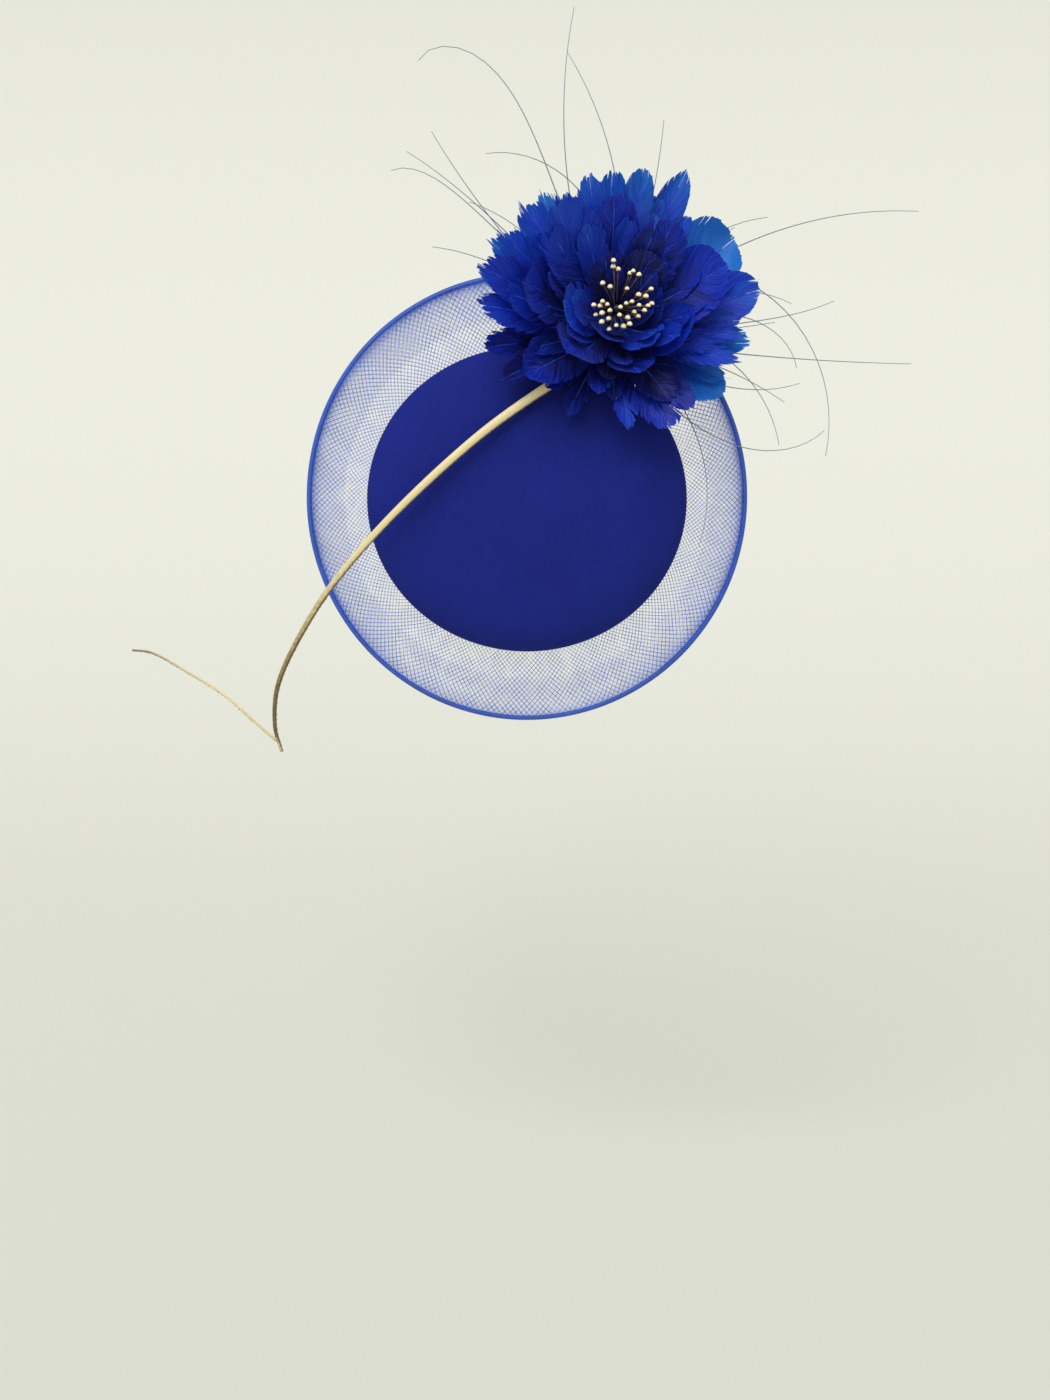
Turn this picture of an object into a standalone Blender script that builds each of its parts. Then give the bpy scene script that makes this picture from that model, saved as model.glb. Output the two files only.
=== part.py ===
"""Fascinator: a cloth-covered oval base, a crinoline brim, a feather flower with beaded stamens,
a stripped quill and a spray of fine spines.

Metres, +Z up. The base stands upright and faces -Y, as it is worn. The origin is the centre of the
plane of the base's rim, where it sits on the head.
"""

from math import cos, pi, radians, sin, tan

import bmesh
import bpy
from mathutils import Matrix, Vector

MM = 0.001
GAP = 0.3 * MM

# Base: half its width and height, how far its crown stands out, its cloth-covered wall
BASE_HALF_WIDTH = 82 * MM
BASE_HALF_HEIGHT = 77 * MM
CROWN = 24 * MM
WALL = 3 * MM
SHOULDER_POWER = 3.0

# Brim: its outer radius, how far it laps behind the base's rim, its folded edge and its net
BRIM_RADIUS = 115 * MM
BRIM_LAP = 3.5 * MM
FOLD_RADIUS = 1.9 * MM
NET_THICKNESS = 1.0 * MM
BRIM_DISH = 3 * MM

# Flower: how far out on the base it sits, in which direction, how it leans outwards, and its size
FLOWER_OUT = 92 * MM
FLOWER_HEADING = 63.5
FLOWER_LEAN = 12
FLOWER_RADIUS = 72 * MM
BACKING_RADIUS = 28 * MM
BACKING_THICKNESS = 2 * MM
PETAL_THICKNESS = 1.0 * MM
HUB_RADIUS = 14 * MM
HUB_CORE = 2 * MM
HUB_THICKNESS = 3 * MM

# Stamens: the pad that holds them, stalk and bead
PAD_RADIUS = 3.5 * MM
STAMEN_LENGTH = 22 * MM
STALK_WIDTH = 0.7 * MM
BEAD_LENGTH = 3.4 * MM
BEAD_WIDTH = 2.8 * MM

# Quill: how far it reaches, its width at the root, at the crease and at the tip, and its flatness
QUILL_REACH = 200 * MM
QUILL_ROOT_WIDTH = 5.2 * MM
QUILL_CREASE_WIDTH = 1.6 * MM
QUILL_TIP_WIDTH = 0.8 * MM
QUILL_FLATNESS = 0.62

# Spines: the pad that holds them, and their width at the root and at the tip
SPINE_PAD_RADIUS = 6 * MM
SPINE_PAD_THICKNESS = 2.2 * MM
SPINE_ROOT_WIDTH = 0.9 * MM
SPINE_TIP_WIDTH = 0.5 * MM

# Comb inside the base
COMB_WIDTH = 66 * MM
COMB_BAR = 7 * MM
COMB_TOOTH_LENGTH = 30 * MM
COMB_TOOTH_WIDTH = 2.2 * MM
COMB_THICKNESS = 2 * MM
COMB_TEETH = 13

# Rings of petals, from the base outwards, each nested in the one before it. lift: degrees forward
# of the ring's hub. In each row, azimuth: degrees, 0 to the right and 90 up. reach: a share of the
# flower's radius. width: a share of the petal's length. rise: degrees forward of the hub, which
# alternate so that neighbours pass each other. curl: degrees of bend forward along the length.
PETAL_COLUMNS = ("azimuth", "reach", "width", "rise", "curl")
RING_COLUMNS = ("name", "lift", "petals")
RINGS = (
    (
        "petals_back",
        5,
        (
            (-26, 0.84, 0.50, -1, 4),
            (-8, 0.90, 0.50, 4, 4),
            (36, 0.98, 0.48, -1, 4),
            (73, 1.04, 0.42, 4, 4),
            (112, 1.00, 0.45, -1, 4),
            (148, 0.93, 0.45, 4, 4),
            (-170, 0.78, 0.50, -1, 4),
            (-130, 0.64, 0.50, 4, 4),
        ),
    ),
    (
        "petals_outer",
        14,
        (
            (-50, 0.84, 0.64, -2, 6),
            (-6, 0.92, 0.44, 3, 6),
            (17, 1.00, 0.44, -2, 6),
            (57, 0.96, 0.44, 3, 6),
            (80, 0.98, 0.42, -2, 6),
            (107, 0.97, 0.42, 3, 6),
            (133, 0.98, 0.48, -2, 6),
            (164, 0.90, 0.60, 3, 6),
            (-150, 0.72, 0.52, -2, 6),
            (-98, 0.60, 0.60, 3, 6),
        ),
    ),
    (
        "petals_middle",
        26,
        (
            (-75, 0.52, 0.76, -4, 10),
            (-20, 0.62, 0.76, 5, 10),
            (20, 0.82, 0.66, -4, 10),
            (57, 0.76, 0.58, 5, 10),
            (94, 0.84, 0.54, -4, 10),
            (128, 0.84, 0.58, 5, 10),
            (166, 0.74, 0.66, -4, 10),
            (-142, 0.60, 0.72, 5, 10),
        ),
    ),
    (
        "petals_heart",
        43,
        (
            (-56, 0.44, 0.80, -7, 10),
            (3, 0.46, 0.80, 7, 10),
            (58, 0.54, 0.70, -7, 10),
            (112, 0.54, 0.66, 7, 10),
            (170, 0.46, 0.80, -7, 10),
            (-118, 0.40, 0.84, 7, 10),
        ),
    ),
)

# Rings of stamens. spread: degrees away from the flower's axis. turn: degrees round it to the first.
STAMEN_COLUMNS = ("count", "spread", "turn")
STAMEN_RINGS = ((1, 0, 0), (6, 13, 20), (12, 26, 5), (17, 38, 12))

# Where the quill's root lies on the backing, as shares of the backing's radius
QUILL_ROOT = (-0.40, -0.60)

# Route of the quill from the middle of the backing, as shares of its reach: to the right, backwards
# and up. The first part ends at a stub just past the crease, from which the thin tip is bent back.
QUILL_ROUTE = (
    (-0.137, -0.048, -0.127),
    (-0.319, -0.071, -0.255),
    (-0.517, -0.071, -0.430),
    (-0.672, -0.046, -0.594),
    (-0.775, 0.000, -0.732),
    (-0.853, 0.044, -0.875),
    (-0.873, 0.069, -0.990),
    (-0.858, 0.074, -1.065),
)
QUILL_TIP_ROUTE = (
    (-0.870, 0.073, -1.035),
    (-0.917, 0.064, -0.990),
    (-0.990, 0.044, -0.913),
    (-1.080, 0.024, -0.848),
    (-1.163, 0.009, -0.796),
    (-1.217, 0.004, -0.786),
)

# Spines. start, end: heading in degrees where the spine leaves the flower and at its tip. late: how
# late along its length it turns. length: a share of the flower's radius. lean: degrees forward.
SPINE_COLUMNS = ("start", "end", "late", "length", "lean")
SPINES = (
    (112, 78, 1.0, 2.28, 2),
    (110, 245, 6.0, 2.50, 5),
    (74, 122, 1.0, 1.98, 3),
    (79, 196, 1.4, 1.72, 8),
    (66, 84, 1.0, 1.52, 4),
    (138, 210, 9.0, 1.84, 5),
    (135, 150, 3.0, 1.80, 3),
    (143, 122, 1.0, 1.76, 7),
    (124, 164, 2.0, 1.30, 2),
    (145, 178, 2.0, 1.32, 6),
    (42, -3, 1.2, 2.40, 3),
    (48, 32, 1.0, 1.14, 5),
    (51, 6, 2.0, 1.41, 3),
    (100, -105, 0.6, 2.65, 4),
    (28, -30, 2.0, 1.32, 6),
    (5, 24, 4.0, 1.58, 3),
    (0, 8, 1.0, 1.13, 7),
    (17, -86, 2.4, 1.48, 7),
    (14, -84, 1.0, 1.56, 4),
    (-10, -2, 1.0, 2.08, 5),
    (-30, 18, 2.0, 1.38, 3),
    (-10, -38, 1.2, 1.28, 8),
    (-52, 42, 2.3, 1.80, 4),
    (-30, -112, 1.0, 1.74, 9),
)


def remove_everything():
    for thing in list(bpy.data.objects):
        bpy.data.objects.remove(thing, do_unlink=True)


def material(name, colour, roughness, metallic=0.0):
    made = bpy.data.materials.new(name)
    made.use_nodes = True
    shader = made.node_tree.nodes["Principled BSDF"]
    shader.inputs["Base Color"].default_value = (*colour, 1)
    shader.inputs["Roughness"].default_value = roughness
    shader.inputs["Metallic"].default_value = metallic
    return made


def node(name, bm, look):
    """An object of this mesh, in the scene, with its faces out."""
    bmesh.ops.recalc_face_normals(bm, faces=bm.faces)
    mesh = bpy.data.meshes.new(name)
    bm.to_mesh(mesh)
    bm.free()
    mesh.materials.append(look)
    mesh.shade_smooth()
    mesh.set_sharp_from_angle(angle=radians(40))
    made = bpy.data.objects.new(name, mesh)
    bpy.context.collection.objects.link(made)
    return made


def fused(name, main, rest, look):
    """One node: the first mesh, joined by a Boolean union to each of the others. All are cut into
    triangles first, because the union needs flat faces."""
    made = bpy.data.collections.new(name + "_joined")
    for i, bm in enumerate(rest):
        bmesh.ops.triangulate(bm, faces=bm.faces)
        piece = node(f"{name}_joined_{i}", bm, look)
        piece.hide_render = True
        piece.display_type = "WIRE"
        made.objects.link(piece)
    bmesh.ops.triangulate(main, faces=main.faces)
    whole = node(name, main, look)
    union = whole.modifiers.new("joined", "BOOLEAN")
    union.operation = "UNION"
    union.operand_type = "COLLECTION"
    union.collection = made
    return whole


def circle(across, up=None, sides=24, depth=0.0):
    """Points round a circle or an oval, in its own plane at this depth."""
    up = across if up is None else up
    turns = [2 * pi * i / sides for i in range(sides)]
    return [Vector((across * cos(turn), up * sin(turn), depth)) for turn in turns]


def moved(matrix, points):
    return [matrix @ point for point in points]


def skin(loops, closed=True):
    """Walls from loop to loop of as many points each. If closed, the two ends are filled."""
    bm = bmesh.new()
    ring = bmesh.ops.create_circle(bm, segments=len(loops[0]), radius=1)["verts"]
    edges = list({edge for vertex in ring for edge in vertex.link_edges})
    for vertex, point in zip(ring, loops[0], strict=True):
        vertex.co = point
    if closed:
        bmesh.ops.contextual_create(bm, geom=edges)
    for points in loops[1:]:
        made = bmesh.ops.extrude_edge_only(bm, edges=edges)["geom"]
        new = {item for item in made if isinstance(item, bmesh.types.BMVert)}
        edges = [item for item in made if isinstance(item, bmesh.types.BMEdge)]
        pairs = (edge.other_vert(old) for old in ring for edge in old.link_edges)
        ring = [vertex for vertex in pairs if vertex in new]
        for vertex, point in zip(ring, points, strict=True):
            vertex.co = point
    if closed:
        bmesh.ops.contextual_create(bm, geom=edges)
    return bm


def smooth_route(points, steps):
    """Points along a Catmull-Rom curve through these, with this many steps from one to the next."""
    ends = [points[0] * 2 - points[1], *points, points[-1] * 2 - points[-2]]
    route = []
    for a, b, c, d in zip(ends, ends[1:], ends[2:], ends[3:], strict=False):
        for t in (step / steps for step in range(steps)):
            square, cube = 2 * a - 5 * b + 4 * c - d, 3 * b - a - 3 * c + d
            route.append(b + ((c - a) * t + square * t**2 + cube * t**3) / 2)
    return [*route, points[-1]]


def tube(route, widths, sides, flatness=1.0):
    """A closed tube along the route, with its broad side to the front."""
    loops = []
    for i, point in enumerate(route):
        along = (route[min(i + 1, len(route) - 1)] - route[max(i - 1, 0)]).normalized()
        across = along.cross(Vector((0, -1, 0))).normalized()
        out = across.cross(along)
        section = circle(widths[i] / 2, widths[i] / 2 * flatness, sides)
        loops.append([point + across * side.x + out * side.y for side in section])
    return skin(loops)


def tapered(first, last, count):
    """Widths that go evenly from the first to the last."""
    return [first + (last - first) * i / (count - 1) for i in range(count)]


def dome_depth(x, z):
    """How far the base's outer face stands in front of its rim at this place."""
    share = ((x / BASE_HALF_WIDTH) ** 2 + (z / BASE_HALF_HEIGHT) ** 2) ** 0.5
    return CROWN * max(0.0, 1 - share**SHOULDER_POWER) ** (1 / SHOULDER_POWER)


def flower_frame():
    """The middle of the backing's front face, with X to the right, Y up and Z out of the flower."""
    out = Vector((cos(radians(FLOWER_HEADING)), 0, sin(radians(FLOWER_HEADING))))
    lean = radians(FLOWER_LEAN)
    axis = Vector((0, -cos(lean), 0)) + out * sin(lean)
    along = Vector((0, sin(lean), 0)) + out * cos(lean)
    seat = out * (FLOWER_OUT - BACKING_RADIUS)
    seat.y = -dome_depth(seat.x, seat.z)
    middle = seat + along * BACKING_RADIUS + axis * (GAP + BACKING_THICKNESS)
    right = Vector((0, 0, 1)).cross(axis).normalized()
    turn = Matrix((right, axis.cross(right), axis)).transposed().to_4x4()
    return Matrix.Translation(middle) @ turn


def hub_height(ring):
    """Where the core of this ring's hub starts, above the backing."""
    return GAP + ring * (HUB_THICKNESS + GAP)


def base_shell():
    """The domed oval, a wall of even thickness, open behind."""
    rings, sides = 6, 40

    def wall(inset):
        for k in range(1, rings + 1):
            turn = pi / 2 * k / rings
            share, rise = (max(0, f(turn)) ** (2 / SHOULDER_POWER) for f in (sin, cos))
            oval = circle((BASE_HALF_WIDTH - inset) * share, (BASE_HALF_HEIGHT - inset) * share, sides)
            yield [Vector((p.x, -(CROWN - inset) * rise if k < rings else 0, p.y)) for p in oval]

    bm = skin([*wall(0), *reversed(list(wall(WALL)))])
    return node("base_shell", bm, material("base_cloth", (0.012, 0.019, 0.15), 0.85))


def crin_brim():
    """Two layers of net, joined by the fold at the outer edge, with a slight dish backwards."""
    sides = 44
    front = GAP + NET_THICKNESS / 2
    inner = circle(BASE_HALF_WIDTH - BRIM_LAP, BASE_HALF_HEIGHT - BRIM_LAP, sides)
    outer = circle(BRIM_RADIUS - FOLD_RADIUS - NET_THICKNESS / 2, sides=sides)

    def loop(share, depth, bulge=0.0):
        points = []
        for a, b in zip(inner, outer, strict=True):
            flat = a.lerp(b, share) + b.normalized() * bulge
            points.append(Vector((flat.x, front + depth + BRIM_DISH * share, flat.y)))
        return points

    fold = [pi * k / 4 for k in range(5)]
    loops = [loop(0, 0)]
    loops += [loop(1, FOLD_RADIUS * (1 - cos(turn)), FOLD_RADIUS * sin(turn)) for turn in fold]
    loops.append(loop(0, 2 * FOLD_RADIUS))
    bm = skin(loops, closed=False)
    brim = node("crin_brim", bm, material("crinoline", (0.11, 0.18, 0.52), 0.5))
    thicken = brim.modifiers.new("net", "SOLIDIFY")
    thicken.thickness = NET_THICKNESS
    thicken.offset = 0
    return brim


def flower_backing(frame):
    depths = (-BACKING_THICKNESS, 0)
    bm = skin([moved(frame, circle(BACKING_RADIUS, sides=20, depth=depth)) for depth in depths])
    return node("flower_backing", bm, material("felt", (0.006, 0.008, 0.06), 0.95))


def petal_place(row, lift, across, along):
    """A place on a petal in the flower's frame. across runs from -1 to 1, along from 0 to 1."""
    length = row["reach"] * FLOWER_RADIUS - HUB_CORE
    steps = 12
    place = Vector((HUB_CORE, 0, 0))
    for step in range(steps):
        part = min(1.0, max(0.0, along * steps - step))
        angle = radians(lift + row["rise"] + row["curl"] * (step + 0.5) / steps)
        place += Vector((cos(angle), 0, sin(angle))) * (length / steps * part)
    full = row["width"] * length / 2
    half = full * (0.16 + 0.84 * sin(pi / 2 * min(1, along / 0.62)) ** 1.3)
    if along > 0.62:
        half *= (1 - 0.86 * ((along - 0.62) / 0.38) ** 2.4) ** 0.5
    return place + Vector((0, across * half, 0.03 * full * across**2))


def petal(row, lift, height, frame):
    """One leaf of feather: a grid laid along the petal and thickened."""
    bm = bmesh.new()
    steps = 6 if row["reach"] > 0.6 else 4
    made = bmesh.ops.create_grid(bm, x_segments=steps, y_segments=3, size=1)["verts"]
    laid = frame @ Matrix.Translation((0, 0, height)) @ Matrix.Rotation(radians(row["azimuth"]), 4, "Z")
    for vertex in made:
        vertex.co = laid @ petal_place(row, lift, vertex.co.y, (vertex.co.x + 1) / 2)
    faces = list({face for vertex in made for face in vertex.link_faces})
    bm.normal_update()
    bmesh.ops.solidify(bm, geom=faces, thickness=PETAL_THICKNESS)
    return bm


def petal_ring(name, ring, lift, rows, frame, look):
    """A ring of petals joined to the small cup that holds their roots."""
    low = hub_height(ring)
    slope = tan(radians(lift))
    profile = ((HUB_CORE, 0), (HUB_RADIUS, 0), (HUB_RADIUS, HUB_THICKNESS), (HUB_CORE, HUB_THICKNESS))
    depths = [low + up + (r - HUB_CORE) * slope for r, up in profile]
    hub = skin([moved(frame, circle(r, sides=14, depth=z)) for (r, _), z in zip(profile, depths)])
    leaves = []
    for values in rows:
        row = dict(zip(PETAL_COLUMNS, values, strict=True))
        leaves.append(petal(row, lift, low + HUB_THICKNESS / 2, frame))
    return fused(name, hub, leaves, look)


def stamens(frame):
    """Beads on stalks, all on one round pad that sits in the cup of the last ring of petals."""
    lift = radians(RINGS[-1][1])
    clear = PAD_RADIUS + GAP
    seat = max(clear, (clear - HUB_CORE * sin(lift)) / cos(lift))
    middle = frame @ Matrix.Translation((0, 0, hub_height(len(RINGS) - 1) + HUB_THICKNESS + seat))
    pad = bmesh.new()
    bmesh.ops.create_icosphere(pad, subdivisions=2, radius=PAD_RADIUS, matrix=middle)
    stalks = []
    for values in STAMEN_RINGS:
        row = dict(zip(STAMEN_COLUMNS, values, strict=True))
        for i in range(row["count"]):
            turn = radians(row["turn"] + 360 * i / row["count"])
            spread = radians(row["spread"] + 2.5 * sin(2.7 * i))
            laid = middle @ Matrix.Rotation(turn, 4, "Z") @ Matrix.Rotation(spread, 4, "Y")
            neck = STAMEN_LENGTH * (1 + 0.07 * sin(1.9 * i + row["count"])) - BEAD_LENGTH / 2
            profile = (
                (PAD_RADIUS * 0.75, STALK_WIDTH),
                (neck, STALK_WIDTH),
                (neck + BEAD_LENGTH * 0.38, BEAD_WIDTH),
                (neck + BEAD_LENGTH * 0.92, BEAD_WIDTH * 0.62),
            )
            stalks.append(skin([moved(laid, circle(w / 2, sides=10, depth=z)) for z, w in profile]))
    return fused("stamens", pad, stalks, material("stamen", (0.66, 0.53, 0.28), 0.35))


def quill(frame):
    """The long stripped quill, flat-oval, and its thin tip bent back at the crease."""
    middle = frame.translation
    height = GAP + QUILL_ROOT_WIDTH * QUILL_FLATNESS / 2
    root = frame @ Vector((QUILL_ROOT[0] * BACKING_RADIUS, QUILL_ROOT[1] * BACKING_RADIUS, height))
    route = smooth_route([root] + [middle + Vector(share) * QUILL_REACH for share in QUILL_ROUTE], 2)
    shaft = tube(route, tapered(QUILL_ROOT_WIDTH, QUILL_CREASE_WIDTH, len(route)), 8, QUILL_FLATNESS)
    route = smooth_route([middle + Vector(share) * QUILL_REACH for share in QUILL_TIP_ROUTE], 2)
    tip = tube(route, tapered(QUILL_CREASE_WIDTH, QUILL_TIP_WIDTH, len(route)), 6, QUILL_FLATNESS)
    return fused("quill", shaft, [tip], material("quill", (0.77, 0.66, 0.4), 0.4))


def spine_route(row, low, steps=6):
    """Points along a spine, in the flower's frame. It leaves the pad flat, turns as it goes, and
    leans forward once it is past the backing."""
    heading = radians(row["start"])
    place = Vector((cos(heading), sin(heading), 0)) * (SPINE_PAD_RADIUS / 3) + Vector((0, 0, low))
    route = [place]
    fine = 4 * steps
    pace = row["length"] * FLOWER_RADIUS / fine
    for step in range(fine):
        heading = radians(row["start"] + (row["end"] - row["start"]) * ((step + 0.5) / fine) ** row["late"])
        lean = radians(row["lean"]) * min(1, max(0, pace * step / BACKING_RADIUS - 1))
        place = place + Vector((cos(heading) * cos(lean), sin(heading) * cos(lean), sin(lean))) * pace
        if step % 4 == 3:
            route.append(place)
    return route


def spine_spray(frame):
    """Fine spines that fan out from a pad behind the backing."""
    top = -BACKING_THICKNESS - GAP
    depths = (top - SPINE_PAD_THICKNESS, top)
    pad = skin([moved(frame, circle(SPINE_PAD_RADIUS, sides=12, depth=depth)) for depth in depths])
    spines = []
    for values in SPINES:
        row = dict(zip(SPINE_COLUMNS, values, strict=True))
        route = moved(frame, spine_route(row, top - SPINE_PAD_THICKNESS / 2))
        spines.append(tube(route, tapered(SPINE_ROOT_WIDTH, SPINE_TIP_WIDTH, len(route)), 3))
    return fused("spine_spray", pad, spines, material("spine", (0.16, 0.2, 0.3), 0.5))


def hair_comb():
    """The comb inside the base, seated against the crown, with its teeth pointing down."""
    pitch = (COMB_WIDTH - COMB_TOOTH_WIDTH) / (COMB_TEETH - 1)
    height = COMB_BAR + COMB_TOOTH_LENGTH
    inner = CROWN - WALL
    reach = (COMB_WIDTH / 2) / (BASE_HALF_WIDTH - WALL), (height / 2) / (BASE_HALF_HEIGHT - WALL)
    share = (reach[0] ** 2 + reach[1] ** 2) ** 0.5
    front = -inner * (1 - share**SHOULDER_POWER) ** (1 / SHOULDER_POWER) + GAP

    def block(width, thickness, tall, x, top):
        bm = bmesh.new()
        place = Matrix.Translation((x, front + COMB_THICKNESS / 2, top - tall / 2))
        bmesh.ops.create_cube(bm, size=1, matrix=place @ Matrix.Diagonal((width, thickness, tall, 1)))
        return bm

    bar = block(COMB_WIDTH, COMB_THICKNESS, COMB_BAR, 0, height / 2)
    teeth = []
    for i in range(COMB_TEETH):
        across = (i - (COMB_TEETH - 1) / 2) * pitch
        length = COMB_TOOTH_LENGTH + COMB_BAR / 2
        top = height / 2 - COMB_BAR / 2
        teeth.append(block(COMB_TOOTH_WIDTH, COMB_THICKNESS * 0.7, length, across, top))
    return fused("hair_comb", bar, teeth, material("comb", (0.01, 0.015, 0.08), 0.35))


def main():
    remove_everything()
    frame = flower_frame()
    base_shell()
    crin_brim()
    flower_backing(frame)
    feather = material("feather", (0.008, 0.02, 0.22), 0.6)
    for ring, values in enumerate(RINGS):
        row = dict(zip(RING_COLUMNS, values, strict=True))
        petal_ring(row["name"], ring, row["lift"], row["petals"], frame, feather)
    stamens(frame)
    quill(frame)
    spine_spray(frame)
    hair_comb()


main()
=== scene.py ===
"""Fascinator: cloth, crinoline net, feathers, stamens and quill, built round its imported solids.

Metres, +Z up, in the solids' own frame. The base faces -Y. Laid out as an add-on and run as a
script: main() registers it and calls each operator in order.
"""

import random
from math import cos, exp, pi, radians, sin

import bmesh
import bpy
from mathutils import Matrix, Vector, noise


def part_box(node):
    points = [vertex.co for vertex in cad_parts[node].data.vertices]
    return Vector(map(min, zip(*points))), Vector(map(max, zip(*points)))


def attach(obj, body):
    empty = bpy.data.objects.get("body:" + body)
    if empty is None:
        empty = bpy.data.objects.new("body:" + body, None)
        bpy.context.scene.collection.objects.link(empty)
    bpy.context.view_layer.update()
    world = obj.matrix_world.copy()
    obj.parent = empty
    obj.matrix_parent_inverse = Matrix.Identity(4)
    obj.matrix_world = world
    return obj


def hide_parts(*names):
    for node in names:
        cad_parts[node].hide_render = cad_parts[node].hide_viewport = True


bl_info = {
    "name": "Feather fascinator",
    "version": (1, 0, 0),
    "blender": (4, 5, 0),
    "location": "3D View > Sidebar > Fascinator",
    "description": "Builds the covering, net, feathers and trimmings of a fascinator",
    "category": "Object",
}

MM = 0.001
BODY = "root"
SEED = 11

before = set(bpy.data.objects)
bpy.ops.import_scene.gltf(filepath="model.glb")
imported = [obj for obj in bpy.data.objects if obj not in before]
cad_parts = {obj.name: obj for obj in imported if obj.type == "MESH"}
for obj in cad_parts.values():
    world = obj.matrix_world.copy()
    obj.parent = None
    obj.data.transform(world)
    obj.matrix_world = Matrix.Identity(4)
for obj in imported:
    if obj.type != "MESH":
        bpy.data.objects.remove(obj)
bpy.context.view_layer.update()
base_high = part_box("base_shell")[1]
brim_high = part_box("crin_brim")[1]

FRONT = Vector((0, -1, 0))

# Sizes of the solids that the pieces follow
HALF_WIDTH = base_high.x
HALF_HEIGHT = base_high.z
CROWN = 24 * MM
WALL = 3 * MM
SHOULDER_POWER = 3.0
BRIM_RADIUS = brim_high.x
BRIM_LAP = 3.5 * MM
FOLD_RADIUS = 1.9 * MM
NET_THICKNESS = 1.0 * MM
GAP = 0.3 * MM
BRIM_DISH = 3 * MM
FLOWER_RADIUS = 72 * MM
BACKING_RADIUS = 28 * MM
BACKING_THICKNESS = 2 * MM
HUB_CORE = 2 * MM
HUB_THICKNESS = 3 * MM
PAD_RADIUS = 3.5 * MM

# Steps of a net thread across the front, round the fold and across the back
NET_STEPS = (8, 4, 8)
# The brim's close edge: steps round it, threads crowded beside the fold, and the folded band
RIM_STEPS = 180
EDGE_THREADS = 36
BAND_LAP = 0.1 * MM
BAND_THICKNESS = 0.3 * MM

# A feather: where it is widest, its width at the root, where its barbs start along the shaft, and how
# much of the shaft they take up, all as shares of its whole length or width
WIDEST = 0.62
ROOT_SHARE = 0.16
BARBS_START = 0.04
BARBS_SPAN = 0.86
PETAL_STEPS = 12
VANE_COLUMNS = 5
SHAFT_STEPS = 10
SHAFT_WIDTHS = (0.7 * MM, 0.2 * MM)
LOOSE_BARB_WIDTHS = (0.22 * MM, 0.10 * MM)
# Rows of barbs that cling together, in a small lock and in a large one
SMALL_LOCK = (3, 9)
LARGE_LOCK = (8, 18)
# A split that would start past the vane's edge, so that there is none
UNSPLIT = 1.1

# Each petal is a bundle of feathers. offset: degrees round the flower. reach, width: shares of the
# petal's own. rise: degrees forward. dye: added to the petal's.
BUNDLE_COLUMNS = ("offset", "reach", "width", "rise", "dye")
BROAD = (
    (0, 1.0, 0.94, 0.0, 0.0),
    (10, 0.86, 0.62, -1.6, -0.08),
    (-11, 0.82, 0.56, 1.5, 0.07),
)
LONE = ((0, 1.0, 1.0, 0.0, 0.0),)
PAIR = (
    (-7, 1.0, 0.62, 0.8, 0.04),
    (7, 0.95, 0.60, -0.8, -0.04),
    (0, 0.80, 0.80, 1.8, -0.10),
)

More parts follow.
